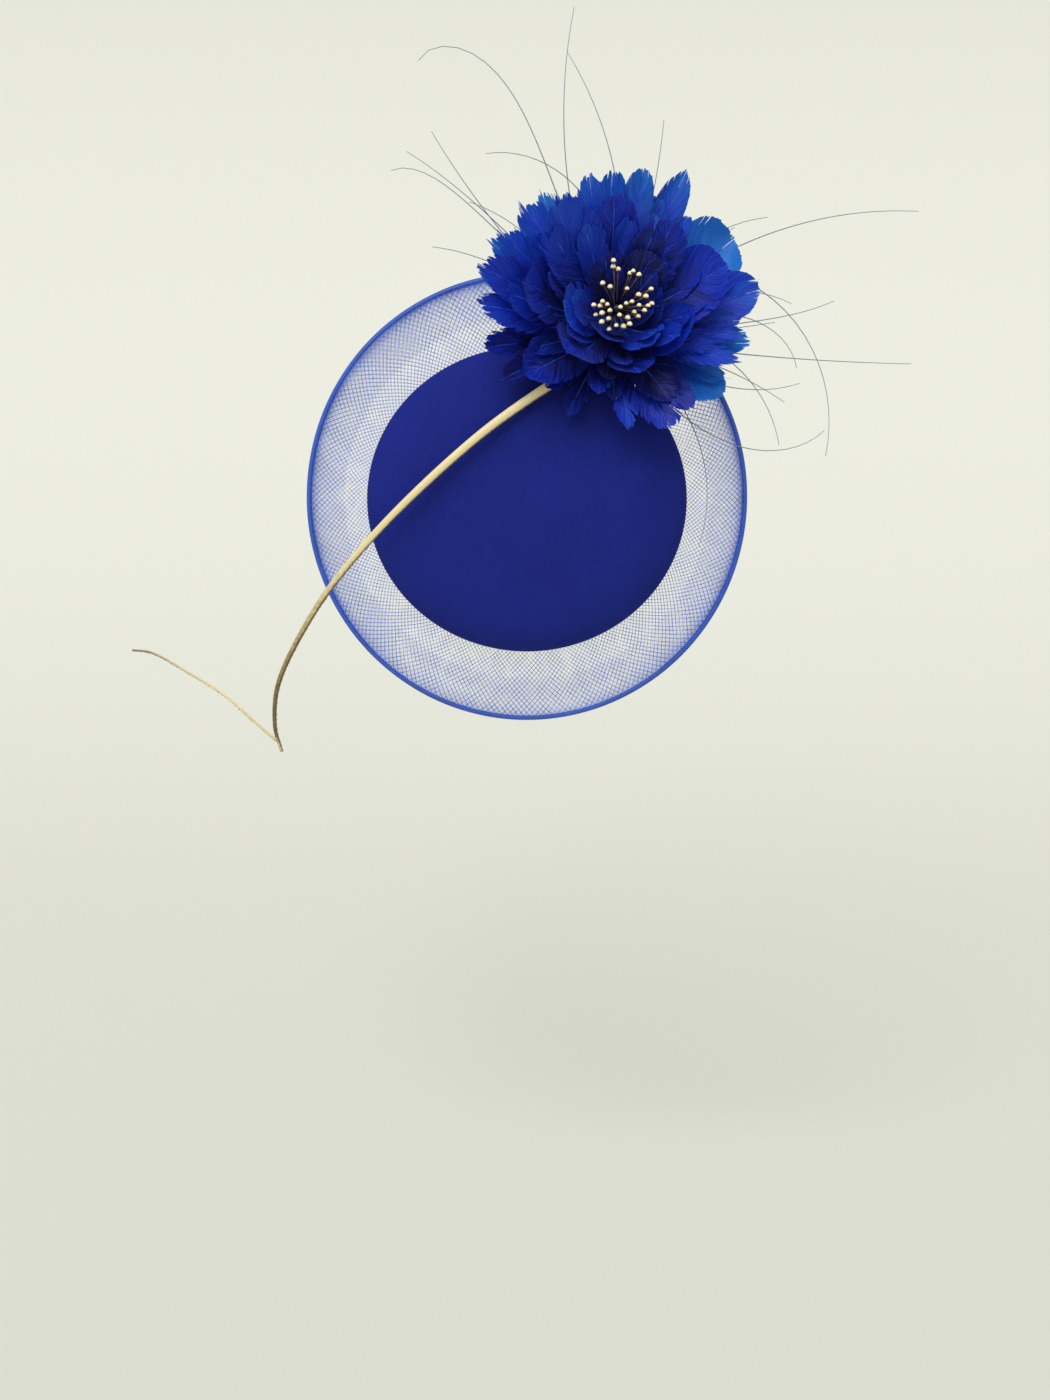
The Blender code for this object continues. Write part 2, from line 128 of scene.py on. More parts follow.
# Feathers of each ring, from the base outwards. They stand near the solids' petals, about half of
# them turned, longer or shorter, and two are added. azimuth: degrees round the flower. reach: in
# flower radii. width: share of the length. rise: degrees forward of the ring's lift. curl: degrees
# from root to tip. dye: from 0, navy, to 1, sky blue; partly the feathers' own dye and partly
# painted light, paler for petals at the rim with light through them and darker for the heart's
# petals, where shade falls. fray: how far the tip is frayed. slits: wide gaps between the barbs.
# bundle: the feathers that make it up
PETAL_COLUMNS = ("azimuth", "reach", "width", "rise", "curl", "dye", "fray", "slits", "bundle")
RING_COLUMNS = ("name", "lift", "petals")
RINGS = (
    (
        "petals_back",
        5,
        (
            (-34, 0.87, 0.42, 1, 4, 0.95, 0.15, 2, BROAD),
            (-20, 0.86, 0.36, 3, 4, 0.85, 0.70, 6, PAIR),
            (-3, 0.90, 0.46, 4, 4, 0.90, 0.25, 3, PAIR),
            (35, 0.98, 0.60, -1, 4, 1.10, 0.06, 2, BROAD),
            (70, 1.07, 0.36, 4, 4, 0.70, 0.10, 1, PAIR),
            (126, 0.99, 0.34, -1, 4, 0.95, 0.60, 3, PAIR),
            (157, 0.97, 0.40, 4, 4, 0.80, 0.40, 2, PAIR),
            (-162, 0.88, 0.42, -1, 4, 0.12, 0.45, 2, PAIR),
            (-119, 0.70, 0.26, -2, 4, 0.14, 0.50, 1, LONE),
        ),
    ),
    (
        "petals_outer",
        14,
        (
            (-58, 0.88, 0.60, -2, 6, 0.16, 0.60, 4, PAIR),
            (-17, 0.91, 0.36, 3, 6, 0.52, 0.65, 5, PAIR),
            (9, 1.00, 0.42, -2, 6, 0.50, 0.15, 2, BROAD),
            (60, 0.84, 0.38, 3, 6, 0.56, 0.10, 1, PAIR),
            (85, 0.98, 0.42, -2, 6, 0.70, 0.06, 0, PAIR),
            (109, 0.96, 0.48, 3, 6, 0.58, 0.45, 2, PAIR),
            (139, 1.00, 0.56, -2, 6, 0.54, 0.50, 3, PAIR),
            (173, 1.00, 0.50, 3, 6, 0.36, 0.55, 3, PAIR),
            (-147, 0.78, 0.50, -2, 6, 0.16, 0.20, 1, BROAD),
            (-100, 0.60, 0.50, 3, 6, 0.08, 0.45, 2, PAIR),
            (-84, 0.76, 0.24, -4, 6, 0.42, 0.45, 2, LONE),
        ),
    ),
    (
        "petals_middle",
        26,
        (
            (-75, 0.52, 0.76, -4, 10, 0.16, 0.15, 1, BROAD),
            (-20, 0.62, 0.76, 5, 10, 0.24, 0.12, 1, BROAD),
            (20, 0.82, 0.66, -4, 10, 0.34, 0.10, 0, BROAD),
            (57, 0.76, 0.58, 5, 10, 0.22, 0.20, 2, BROAD),
            (94, 0.80, 0.54, -4, 10, 0.32, 0.30, 1, BROAD),
            (128, 0.84, 0.58, 5, 10, 0.42, 0.25, 3, BROAD),
            (166, 0.74, 0.66, -4, 10, 0.16, 0.20, 1, BROAD),
            (-142, 0.60, 0.72, 5, 10, 0.20, 0.15, 0, BROAD),
        ),
    ),
    (
        "petals_heart",
        43,
        (
            (-50, 0.47, 0.80, -7, 10, 0.48, 0.15, 4, BROAD),
            (3, 0.46, 0.80, 7, 10, 0.06, 0.10, 1, BROAD),
            (58, 0.54, 0.70, -7, 10, 0.02, 0.15, 1, BROAD),
            (112, 0.54, 0.66, 3, 10, 0.08, 0.15, 3, BROAD),
            (178, 0.48, 0.80, -7, 10, 0.52, 0.10, 2, BROAD),
            (-118, 0.40, 0.84, 7, 10, 0.22, 0.10, 1, BROAD),
        ),
    ),
)

# Where each bead stands as seen from the camera, in millimetres right of and above the root
STAMEN_TIPS = (
    (-1.5, 20.9), (-1.6, 18.4), (0.7, 17.3), (6.0, 15.5), (7.5, 16.4), (10.1, 14.8),
    (-6.3, 11.4), (-2.9, 9.8), (4.8, 8.9), (10.1, 6.2), (13.5, 5.5), (15.8, 8.6),
    (-10.3, 2.1), (-7.4, 1.7), (-6.3, 3.6), (-4.1, 2.3), (-2.9, -0.4), (-6.5, -1.4),
    (-9.4, -2.2), (-6.6, -5.3), (-3.4, -3.9), (1.5, -2.4), (4.5, 2.6), (7.1, 3.3),
    (10.4, 1.7), (14.6, 1.4), (16.3, 2.3), (12.9, -0.6), (10.1, -3.1), (5.3, -3.6),
    (6.2, -6.4), (3.4, -7.4), (0.1, -6.9), (-3.2, -8.6), (1.9, 1.0), (8.3, -1.2),
)
STAMEN_LENGTH = 22 * MM
BEAD_LENGTH = 3.2 * MM
BEAD_WIDTH = 2.7 * MM
STALK_WIDTH = 0.4 * MM
STALK_STEPS = 6
STAMEN_SHIFT = 4 * MM

# The root lies on the backing, in shares of its radius. The route goes to the right, backwards and
# up from the backing's middle, in shares of the reach
QUILL_REACH = 200 * MM
QUILL_ROOT_WIDTH = 5.2 * MM
QUILL_CREASE_WIDTH = 1.6 * MM
QUILL_TIP_WIDTH = 0.8 * MM
QUILL_FLATNESS = 0.62
QUILL_ROOT = (-0.40, -0.60)
QUILL_ROUTE = (
    (-0.137, -0.048, -0.127),
    (-0.319, -0.071, -0.255),
    (-0.517, -0.071, -0.430),
    (-0.672, -0.046, -0.594),
    (-0.775, 0.000, -0.732),
    (-0.853, 0.044, -0.875),
    (-0.873, 0.069, -0.990),
    (-0.858, 0.074, -1.065),
)
QUILL_TIP_ROUTE = (
    (-0.870, 0.073, -1.035),
    (-0.917, 0.064, -0.990),
    (-0.990, 0.044, -0.913),
    (-1.080, 0.024, -0.848),
    (-1.163, 0.009, -0.796),
    (-1.217, 0.004, -0.786),
)

# How dark and brown the quill is painted at even steps along it, and along the part past the
# crease. The first step is painted shadow, where the quill goes in under the petals; further on
# they make it browner towards the crease and the tip's end
QUILL_SHADE_AND_BROWN = (0.7, 0.0, 0.0, 0.0, 0.0, 0.1, 0.3, 0.42, 0.56, 0.68, 0.75, 0.72, 0.3)
QUILL_TIP_SHADE_AND_BROWN = (0.3, 0.1, -0.2, -0.1, 0.3, 0.5, 0.65)

# Stubs of barbs start some steps along each part of the quill, past the petals and past the crease,
# and don't cross the gap between the two
QUILL_STEPS = 14
STUBS_FROM = 16
STUBS_GAP = 12 * MM
STUB_WIDTHS = (0.24 * MM, 0.06 * MM)

# Spines, as in the solids. start, end: the heading in degrees at the pad and at the tip. late: above
# 1, most of the turn comes late. length: in flower radii. lean: degrees forward
SPINE_WIDTHS = (0.75 * MM, 0.28 * MM)
SPINE_STEPS = 48
SPINE_PAD_RADIUS = 6 * MM
SPINE_PAD_THICKNESS = 2.2 * MM
SPINE_COLUMNS = ("start", "end", "late", "length", "lean")
SPINES = (
    (112, 78, 1.0, 2.28, 2),
    (110, 245, 6.0, 2.50, 5),
    (74, 122, 1.0, 1.98, 3),
    (79, 196, 1.4, 1.72, 8),
    (66, 84, 1.0, 1.52, 4),
    (138, 210, 9.0, 1.84, 5),
    (135, 150, 3.0, 1.80, 3),
    (143, 122, 1.0, 1.76, 7),
    (124, 164, 2.0, 1.30, 2),
    (145, 178, 2.0, 1.32, 6),
    (42, -3, 1.2, 2.40, 3),
    (48, 32, 1.0, 1.14, 5),
    (51, 6, 2.0, 1.41, 3),
    (100, -105, 0.6, 2.65, 4),
    (28, -30, 2.0, 1.32, 6),
    (5, 24, 4.0, 1.58, 3),
    (0, 8, 1.0, 1.13, 7),
    (17, -86, 2.4, 1.48, 7),
    (14, -84, 1.0, 1.56, 4),
    (-10, -2, 1.0, 2.08, 5),
    (-30, 18, 2.0, 1.38, 3),
    (-10, -38, 1.2, 1.28, 8),
    (-52, 42, 2.3, 1.80, 4),
    (-30, -112, 1.0, 1.74, 9),
)

# Camera: where the photograph was taken from, how far it looked down in degrees, film and lens
CAMERA_PLACE = (-0.001, -0.576, -0.020)
CAMERA_TILT = 8.2
CAMERA_FILM_MM = 36
CAMERA_FOCUS_MM = 28.29

# The floor runs back from its start, then bends up into the backdrop
FLOOR_HEIGHT = -0.42
FLOOR_START = -6.0
FLOOR_FLAT = 6.6
FLOOR_BEND = 3.0
FLOOR_LENGTH = 13.0
FLOOR_HALF_WIDTH = 10.0

# How strong the studio's light from all round is, and how strong the wide lamp is, with its width,
# tilt and turn in degrees
STUDIO_STRENGTH = 0.55
LAMP_STRENGTH = 2.1
LAMP_WIDTH = 50
LAMP_TILT = 46
LAMP_TURN = -22


def linear(code):
    """A web colour as linear values, for a shader."""
    parts = (int(code[i : i + 2], 16) / 255 for i in (1, 3, 5))
    return tuple(c / 12.92 if c <= 0.04045 else ((c + 0.055) / 1.055) ** 2.4 for c in parts)


def share_of(low, high, value):
    """0 up to low, 1 from high on, and smooth between them."""
    t = min(1.0, max(0.0, (value - low) / (high - low)))
    return t * t * (3 - 2 * t)


def toned(tint, share):
    """This colour, darker with a share below 1 and lighter with one above."""
    return tuple(min(1.0, share * c) for c in tint)


def distance(name, description, default, low, high):
    """A property for a distance, with its default and limits in millimetres."""
    return bpy.props.FloatProperty(
        name=name,
        description=description,
        default=default * MM,
        min=low * MM,
        max=high * MM,
        unit="LENGTH",
    )


class FascinatorSizes(bpy.types.PropertyGroup):
    """Sizes that can be changed without touching the solids."""

    # Real crinoline has a thread every 1.2 mm or so. It is drawn half as coarse again, to show at all
    net_pitch: distance("Net pitch", "Distance from one thread of the net to the next", 1.8, 0.5, 4)
    net_thread: distance("Net thread", "Width of one thread of the net", 0.13, 0.03, 0.5)
    edge_fade: distance(
        "Edge fade", "How far in from the brim's fold the crowded threads reach", 18, 1, 25
    )
    barb_pitch: distance(
        "Barb pitch", "Distance from one bundle of barbs to the next along the shaft", 0.9, 0.6, 4
    )
    vane_thickness: distance("Vane thickness", "Thickness of a feather's vane", 0.16, 0.05, 0.6)
    weave_pitch: distance("Weave pitch", "Thread spacing of the base's cloth", 0.6, 0.3, 2)


def colour(name, description, code):
    """A colour property with this web colour as its default."""
    return bpy.props.FloatVectorProperty(
        name=name, description=description, default=linear(code), min=0, max=1, subtype="COLOR"
    )


class FascinatorColours(bpy.types.PropertyGroup):
    """Dyes and natural colours of the materials."""

    cloth: colour("Cloth", "Dye of the base's crepe", "#1C2884")
    cloth_shade: colour("Cloth shade", "The crepe where its nap lies flat", "#17206E")
    net: colour("Net", "Dye of the brim's nylon threads", "#4E8AFF")
    band: colour("Band", "The close-woven edge of the brim", "#4A74DE")
    navy: colour("Navy", "Darkest dye of the feathers", "#070B40")
    royal: colour("Royal", "Main dye of the feathers", "#0D37D4")
    # Bright and sky are partly painted light: the thin tips' base colour, as if lit through them
    bright: colour("Bright", "Dye of the feathers' thin tips", "#1256D2")
    sky: colour("Sky", "The thinnest vane with light through it", "#2E90E6")
    quill: colour("Quill", "Stripped and bleached quill", "#E0D09C")
    quill_edge: colour("Quill edge", "Brown edge where the barbs were stripped", "#857044")
    spine: colour("Spine", "Stripped and dyed spines", "#6F7C8E")
    bead: colour("Bead", "Pearly lacquer of the stamens", "#FFF3C8")
    # Painted shade: the colour that the beads' undersides and stalk sides are painted towards
    painted_bead_shade: colour("Gilt", "The lacquer's brown underside", "#523812")
    stalk: colour("Stalk", "Stiffened thread of the stamens", "#8A7048")
    felt: colour("Felt", "Wool felt behind the flower", "#0E1240")
    comb: colour("Comb", "Moulded comb", "#141A52")
    floor: colour("Floor", "Pale floor and backdrop", "#D8D9CF")


def add(tree, kind, inputs=None, stops=(), **settings):
    """A node of this kind with its settings, and with these (place, colour) stops if it is a ramp.
    An input is set to a value, or linked to a socket or to a node's first output."""
    made = tree.nodes.new("ShaderNode" + kind)
    for name, value in settings.items():
        setattr(made, name, value)
    for name, value in (inputs or {}).items():
        if isinstance(value, bpy.types.Node):
            value = value.outputs[0]
        if isinstance(value, bpy.types.NodeSocket):
            tree.links.new(value, made.inputs[name])
        else:
            made.inputs[name].default_value = value
    for i, (place, value) in enumerate(stops):
        elements = made.color_ramp.elements
        element = elements[i] if i < len(elements) else elements.new(place)
        element.position = place
        element.color = opaque(value)
    return made


def new_material(name):
    """An empty material, its tree and its output."""
    made = bpy.data.materials.new(name)
    made.use_nodes = True
    tree = made.node_tree
    tree.nodes.clear()
    return made, tree, add(tree, "OutputMaterial")


def surface(tree, shader, out):
    """Links the shader to the output."""
    tree.links.new(shader.outputs[0], out.inputs["Surface"])


def opaque(tint):
    """This colour with full cover, as a shader's socket takes it."""
    return (*tint, 1.0)


def crepe(sizes, colours):
    """Wool crepe over a stiff base: matt, with a fine pebbled weave and a faint nap."""
    made, tree, out = new_material("wool_crepe")
    place = add(tree, "TexCoord").outputs["Object"]
    # The yarn's crinkle, drawn at the weave's own pitch
    scale = 1 / (2 * sizes.weave_pitch)
    pebble = add(tree, "TexNoise", {"Vector": place, "Scale": scale, "Detail": 2.0, "Roughness": 0.6})
    # The nap lies this way and that over a few centimetres
    nap = add(tree, "TexNoise", {"Vector": place, "Scale": 28.0, "Detail": 3.0, "Roughness": 0.5})
    fine = add(tree, "Math", {0: pebble, 1: 0.55}, operation="MULTIPLY")
    mixed = add(tree, "Math", {0: nap, 1: 0.45, 2: fine}, operation="MULTIPLY_ADD")
    tint = add(tree, "ValToRGB", {"Fac": mixed}, [(0.30, colours.cloth_shade), (0.72, colours.cloth)])
    bump = add(tree, "Bump", {"Height": pebble, "Distance": 0.12 * MM, "Strength": 0.5})
    shader = add(tree, "BsdfPrincipled", {
        "Base Color": tint, "Roughness": 0.9, "Specular IOR Level": 0.1, "Sheen Weight": 0.05,
        "Sheen Roughness": 0.5, "Sheen Tint": opaque(linear("#5A6BD0")), "Normal": bump,
    })
    surface(tree, shader, out)
    return made


def nylon(name, tint, roughness=0.42):
    """Nylon monofilament, extruded and dyed: a slight gloss, and a little light goes through."""
    made, tree, out = new_material(name)
    place = add(tree, "TexCoord").outputs["Object"]
    # Dye takes unevenly over a centimetre or so
    patch = add(tree, "TexNoise", {"Vector": place, "Scale": 90.0, "Detail": 2.0})
    shade = add(tree, "ValToRGB", {"Fac": patch}, [(0.3, toned(tint, 0.84)), (0.7, tint)])
    solid = add(tree, "BsdfPrincipled", {"Base Color": shade, "Roughness": roughness})
    through = add(tree, "BsdfTranslucent", {"Color": shade})
    surface(tree, add(tree, "MixShader", {0: 0.4, 1: solid, 2: through}), out)
    return made


def vane(colours):
    """Dyed goose feather: barbs in fine streaks, matt with a soft sheen, thin enough at the tip
    for light to come through as sky blue. Its base colour also holds painted light, paler towards
    the tip as if lit through it, and painted shade, darker towards the root."""
    made, tree, out = new_material("dyed_feather")
    tone = add(tree, "Attribute", attribute_name="tone").outputs["Vector"]
    dye, reach, barb = add(tree, "SeparateXYZ", {0: tone}).outputs
    lay = add(tree, "Attribute", attribute_name="lay").outputs["Vector"]
    # Barbs are about 0.3 mm apart; streaks of a few barbs show, so they are drawn at two to a row
    streak = add(tree, "TexNoise", {"Vector": lay, "Scale": 2.0, "Detail": 3.0, "Roughness": 0.6})
    soft = add(tree, "TexNoise", {"Vector": lay, "Scale": 0.35, "Detail": 1.0})
    # Painted light and shade: paler towards the thin tip, as if lit through it, and darker towards
    # the root, where shade falls in the flower's heart; then each kind of streak makes it lighter or
    # darker
    tip = add(tree, "Math", {0: reach, 1: 1.8}, operation="POWER")
    thin = add(tree, "Math", {0: tip, 1: 0.92, 2: 0.14}, operation="MULTIPLY_ADD")
    # Painted shade: up to 0.09 darker towards the root
    root = add(tree, "Math", {0: tip, 1: 0.09, 2: -0.09}, operation="MULTIPLY_ADD")
    value = add(tree, "Math", {0: dye, 1: thin, 2: root}, operation="MULTIPLY_ADD")
    for source, share in ((streak.outputs["Fac"], 1.1), (soft.outputs["Fac"], 0.30), (barb, 0.12)):
        middle = add(tree, "Math", {0: source, 1: 0.5}, operation="SUBTRACT")
        value = add(tree, "Math", {0: middle, 1: share, 2: value}, operation="MULTIPLY_ADD")
    stops = [(0.0, colours.navy), (0.26, colours.royal), (0.55, colours.bright), (0.90, colours.sky)]
    tint = add(tree, "ValToRGB", {"Fac": value}, stops)
    bump = add(tree, "Bump", {"Height": streak, "Distance": 0.3 * MM, "Strength": 0.7})
    solid = add(tree, "BsdfPrincipled", {
        "Base Color": tint, "Roughness": 0.42, "Specular IOR Level": 0.40, "Sheen Weight": 0.26,
        "Sheen Roughness": 0.45, "Sheen Tint": opaque(linear("#A4B0F4")), "Normal": bump,
    })
    stops = [(0.0, colours.royal), (0.4, colours.bright), (0.8, colours.sky)]
    glow = add(tree, "ValToRGB", {"Fac": value}, stops)
    through = add(tree, "BsdfTranslucent", {"Color": glow})
    surface(tree, add(tree, "MixShader", {0: 0.42, 1: solid, 2: through}), out)
    return made


def rachis(colours):
    """A feather's shaft: dyed keratin, glossier and lighter than the vane."""
    made, tree, out = new_material("feather_shaft")
    place = add(tree, "TexCoord").outputs["Object"]
    # The dye takes unevenly, over some millimetres
    grain = add(tree, "TexNoise", {"Vector": place, "Scale": 160.0, "Detail": 2.0})
    tint =add(tree, "ValToRGB", {"Fac": grain}, [(0.40, colours.royal), (0.75, linear("#4A86EA"))])
    surface(tree, add(tree, "BsdfPrincipled", {"Base Color": tint, "Roughness": 0.35}), out)
    return made


def keratin(name, body, edge, roughness=0.42):
    """Stripped quill and spines: horn, smooth and slightly clear, browner where a quill's barbs came
    off.
    The edge attribute also carries painted shade: the quill's shadowed root, and the lighter and
    darker sides of a spine.
    """
    made, tree, out = new_material(name)
    place = add(tree, "TexCoord").outputs["Object"]
    rough_side_and_shade = add(tree, "Attribute", attribute_name="edge").outputs["Fac"]
    # Torn fibres, a little over a millimetre long
    grain = add(tree, "TexNoise", {"Vector": place, "Scale": 700.0, "Detail": 3.0})
    middle = add(tree, "Math", {0: grain, 1: 0.5}, operation="SUBTRACT")
    ragged = add(tree, "Math", {0: middle, 1: 0.5, 2: rough_side_and_shade}, operation="MULTIPLY_ADD")
    light, dark = toned(body, 1.25), toned(edge, 0.55)
    stops = [(0.0, light), (0.25, body), (0.5, body), (0.9, edge), (1.0, dark)]
    tint = add(tree, "ValToRGB", {"Fac": ragged}, stops)
    bump = add(tree, "Bump", {"Height": grain, "Distance": 0.08 * MM, "Strength": 0.4})
    horn = {"Base Color": tint, "Roughness": roughness, "IOR": 1.54, "Normal": bump}
    surface(tree, add(tree, "BsdfPrincipled", horn), out)
    return made


def lacquer(name, body, shade, metal):
    """Gilt pearl lacquer dipped on plaster beads: bright where it faces the light. The edge attribute
    paints it towards its shade colour: painted shade on each bead's underside and towards its stalk,
    with a painted reflection of the dark flower there, and painted shade at the stalks' feet."""
    made, tree, out = new_material(name)
    place = add(tree, "TexCoord").outputs["Object"]
    # The dip is uneven over about a millimetre
    patch = add(tree, "TexNoise", {"Vector": place, "Scale": 700.0, "Detail": 2.0})
    # The edge attribute is painted shade: how far the colour goes towards the shade colour
    depth = add(tree, "Attribute", attribute_name="edge").outputs["Fac"]
    some = add(tree, "Math", {0: patch, 1: 0.5}, operation="MULTIPLY")
    mixed = add(tree, "Math", {0: depth, 1: 0.8, 2: some}, operation="MULTIPLY_ADD")
    tint = add(tree, "ValToRGB", {"Fac": mixed}, [(0.35, body), (0.85, shade)])
    bump = add(tree, "Bump", {"Height": patch, "Distance": 0.15 * MM, "Strength": 0.5})
    dip = {"Base Color": tint, "Roughness": 0.24, "Metallic": metal, "Normal": bump}
    surface(tree, add(tree, "BsdfPrincipled", dip), out)
    return made


def plain(name, tint, roughness, grain_scale, depth):
    """Felt, moulded comb or stubs: one colour, with a fine grain in its depth and shade."""
    made, tree, out = new_material(name)
    place = add(tree, "TexCoord").outputs["Object"]
    grain = add(tree, "TexNoise", {"Vector": place, "Scale": grain_scale, "Detail": 3.0})
    shade = add(tree, "ValToRGB", {"Fac": grain}, [(0.3, toned(tint, 0.86)), (0.7, tint)])
    bump = add(tree, "Bump", {"Height": grain, "Distance": depth, "Strength": 0.4})
    skin = {"Base Color": shade, "Roughness": roughness, "Normal": bump}
    surface(tree, add(tree, "BsdfPrincipled", skin), out)
    return made


def piece(name, bm, look, replaces=()):
    """An object of this mesh, which rides on the one body and stands for these nodes."""
    bmesh.ops.recalc_face_normals(bm, faces=bm.faces)
    mesh = bpy.data.meshes.new(name)
    bm.to_mesh(mesh)
    bm.free()
    mesh.materials.append(look)
    mesh.shade_smooth()
    made = bpy.data.objects.new(name, mesh)
    bpy.context.collection.objects.link(made)
    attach(made, BODY)
    if replaces:
        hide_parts(*replaces)
    return made


def thicken(made, thickness):
    """A wall of this thickness, half to each side of the sheet."""
    wall = made.modifiers.new("wall", "SOLIDIFY")
    wall.thickness = thickness
    wall.offset = 0


def cells(coordinate, count):
    """How many cells lie before this coordinate in a grid of size 1 with this count of them."""
    return (coordinate + 1) / 2 * count


def broadside(along):
    """The direction across this one, as seen from the front."""
    return along.cross(FRONT).normalized()


def aimed(axis):
    """A turn that points Z along this axis."""
    return axis.to_track_quat("Z", "Y").to_matrix().to_4x4()


def flower_frame():
    """The middle of the backing's front face, with X to the right, Y up and Z out of the flower."""
    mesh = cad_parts["flower_backing"].data
    axis = min(mesh.polygons, key=lambda face: face.normal.y).normal.normalized()
    places = {tuple(round(c, 6) for c in vertex.co) for vertex in mesh.vertices}
    middle = sum((Vector(place) for place in places), Vector()) / len(places)
    right = Vector((0, 0, 1)).cross(axis).normalized()
    turn = Matrix((right, axis.cross(right), axis)).transposed().to_4x4()
    return Matrix.Translation(middle + axis * (BACKING_THICKNESS / 2)) @ turn


def hub_height(ring):
    """Where the core of this ring's hub starts, above the backing."""
    return GAP + ring * (HUB_THICKNESS + GAP)


def smooth_route(points, steps):
    """Points along a Catmull-Rom curve through these, with this many steps from one to the next."""
    ends = [points[0] * 2 - points[1], *points, points[-1] * 2 - points[-2]]
    route = []
    for a, b, c, d in zip(ends, ends[1:], ends[2:], ends[3:], strict=False):
        for t in (step / steps for step in range(steps)):
            square, cube = 2 * a - 5 * b + 4 * c - d, 3 * b - a - 3 * c + d
            route.append(b + ((c - a) * t + square * t**2 + cube * t**3) / 2)
    return [*route, points[-1]]


def tube(bm, route, widths, sides, flatness=1.0):
    """A closed tube along the route, its broad side to the front: a grid rolled up lengthwise.
    Returns each vertex with its step along the route and how far round it lies, from 0 to 1."""
    count = len(route) - 1
    grid = bmesh.ops.create_grid(bm, x_segments=count, y_segments=sides, size=1)["verts"]
    frames = []
    for i, point in enumerate(route):
        along = (route[min(i + 1, count)] - route[max(i - 1, 0)]).normalized()
        across = broadside(along)
        frames.append((point, across, across.cross(along)))
    placed = []
    for vertex in grid:
        step = round(cells(vertex.co.x, count))
        turn = (vertex.co.y + 1) * pi
        point, across, out = frames[step]
        half = widths[step] / 2
        vertex.co = point + across * (half * cos(turn)) + out * (half * flatness * sin(turn))
        placed.append((vertex, step, turn / (2 * pi)))
    bmesh.ops.remove_doubles(bm, verts=grid, dist=min(widths) * 0.01)
    placed = [values for values in placed if values[0].is_valid]
    edges = {edge for vertex, _, _ in placed for edge in vertex.link_edges}
    rims = [edge for edge in edges if edge.is_boundary]
    bmesh.ops.holes_fill(bm, edges=rims, sides=sides)
    return placed


def tapered(first, last, count):
    """Widths that go evenly from the first to the last."""
    return [first + (last - first) * i / (count - 1) for i in range(count)]


def petal_place(row, lift, across, along):
    """A place on a petal in the flower's frame. across runs from -1 to 1, along from 0 to 1 and,
    for barbs that stand past the tip, a little more."""
    span = row["reach"] * FLOWER_RADIUS - HUB_CORE
    steps = PETAL_STEPS
    place = Vector((HUB_CORE, 0, 0))
    for step in range(steps):
        part = max(0.0, along * steps - step)
        part = min(1.0, part) if step < steps - 1 else part
        angle = radians(lift + row["rise"] + row["curl"] * (step + 0.5) / steps)
        place += Vector((cos(angle), 0, sin(angle))) * (span / steps * part)
    full = row["width"] * span / 2
    swelling = sin(pi / 2 * min(1, along / WIDEST)) ** 1.3
    half = full * (ROOT_SHARE + (1 - ROOT_SHARE) * swelling)
    if along > WIDEST:
        past = min(1.0, (along - WIDEST) / (1 - WIDEST))
        half *= (1 - 0.86 * past**2.4) ** 0.5
    return place + Vector((0, across * half, 0.03 * full * across**2))


def parted_barbs(row, rows, draw):
    """Where a vane is open, in shares of the way out from its shaft. Barbs cling together in locks.
    Between two locks the vane is open from some way out, within a lock only at the very ends, and
    at a slit almost from the shaft."""
    fray = row["fray"]
    splits, locks, slits = {}, {}, []
    for side in (-1, 1):
        line = 0
        while line < rows:
            size = draw.randint(*(SMALL_LOCK if draw.random() < 0.3 + fray else LARGE_LOCK))
            last = min(rows, line + size)
            lock_end = draw.uniform(-1.0, 0.5)
            opens = UNSPLIT
            if draw.random() < 0.35 + fray:
                opens = 1.0 - draw.random() * (0.10 + 0.55 * fray)
            for strip in range(line, last):
                barb_end = draw.uniform(-1.0, 0.5)
                locks[side, strip] = ((line + last) / 2, opens, lock_end, barb_end)
                split = draw.random() < 0.25 + fray
                splits[side, strip] = 1.0 - 0.16 * draw.random() if split else UNSPLIT
            splits[side, line] = opens
            line = last
    for _ in range(row["slits"]):
        side = draw.choice((-1, 1))
        line = draw.randint(round(0.25 * rows), round(0.85 * rows))
        depth = draw.uniform(0.12, 0.5)
        splits[side, line] = depth
        slits.append((side, line, depth, draw.uniform(0.5, 1.3)))
    return splits, locks, slits


def loose_barbs(bm, row, lift, laid, draw):
    """Single barbs that have come loose and stand off the vane."""
    for _ in range(draw.choice((0, 1, 1, 2)) + round(2 * row["fray"])):
        side, start = draw.choice((-1, 1)), draw.uniform(0.35, 0.9)
        out, far = draw.uniform(0.3, 0.8), draw.uniform(0.12, 0.28)
        lift_off = draw.uniform(1.0, 6.0) * MM
        strand = []
        for i in range(6):
            t = i / 5
            foot = petal_place(row, lift, side * (0.2 + out * t), min(1.04, start + far * t))
            strand.append(laid @ (foot + Vector((0, 0, 0.2 * MM + lift_off * t * t))))
        tube(bm, strand, tapered(*LOOSE_BARB_WIDTHS, 6), 3)


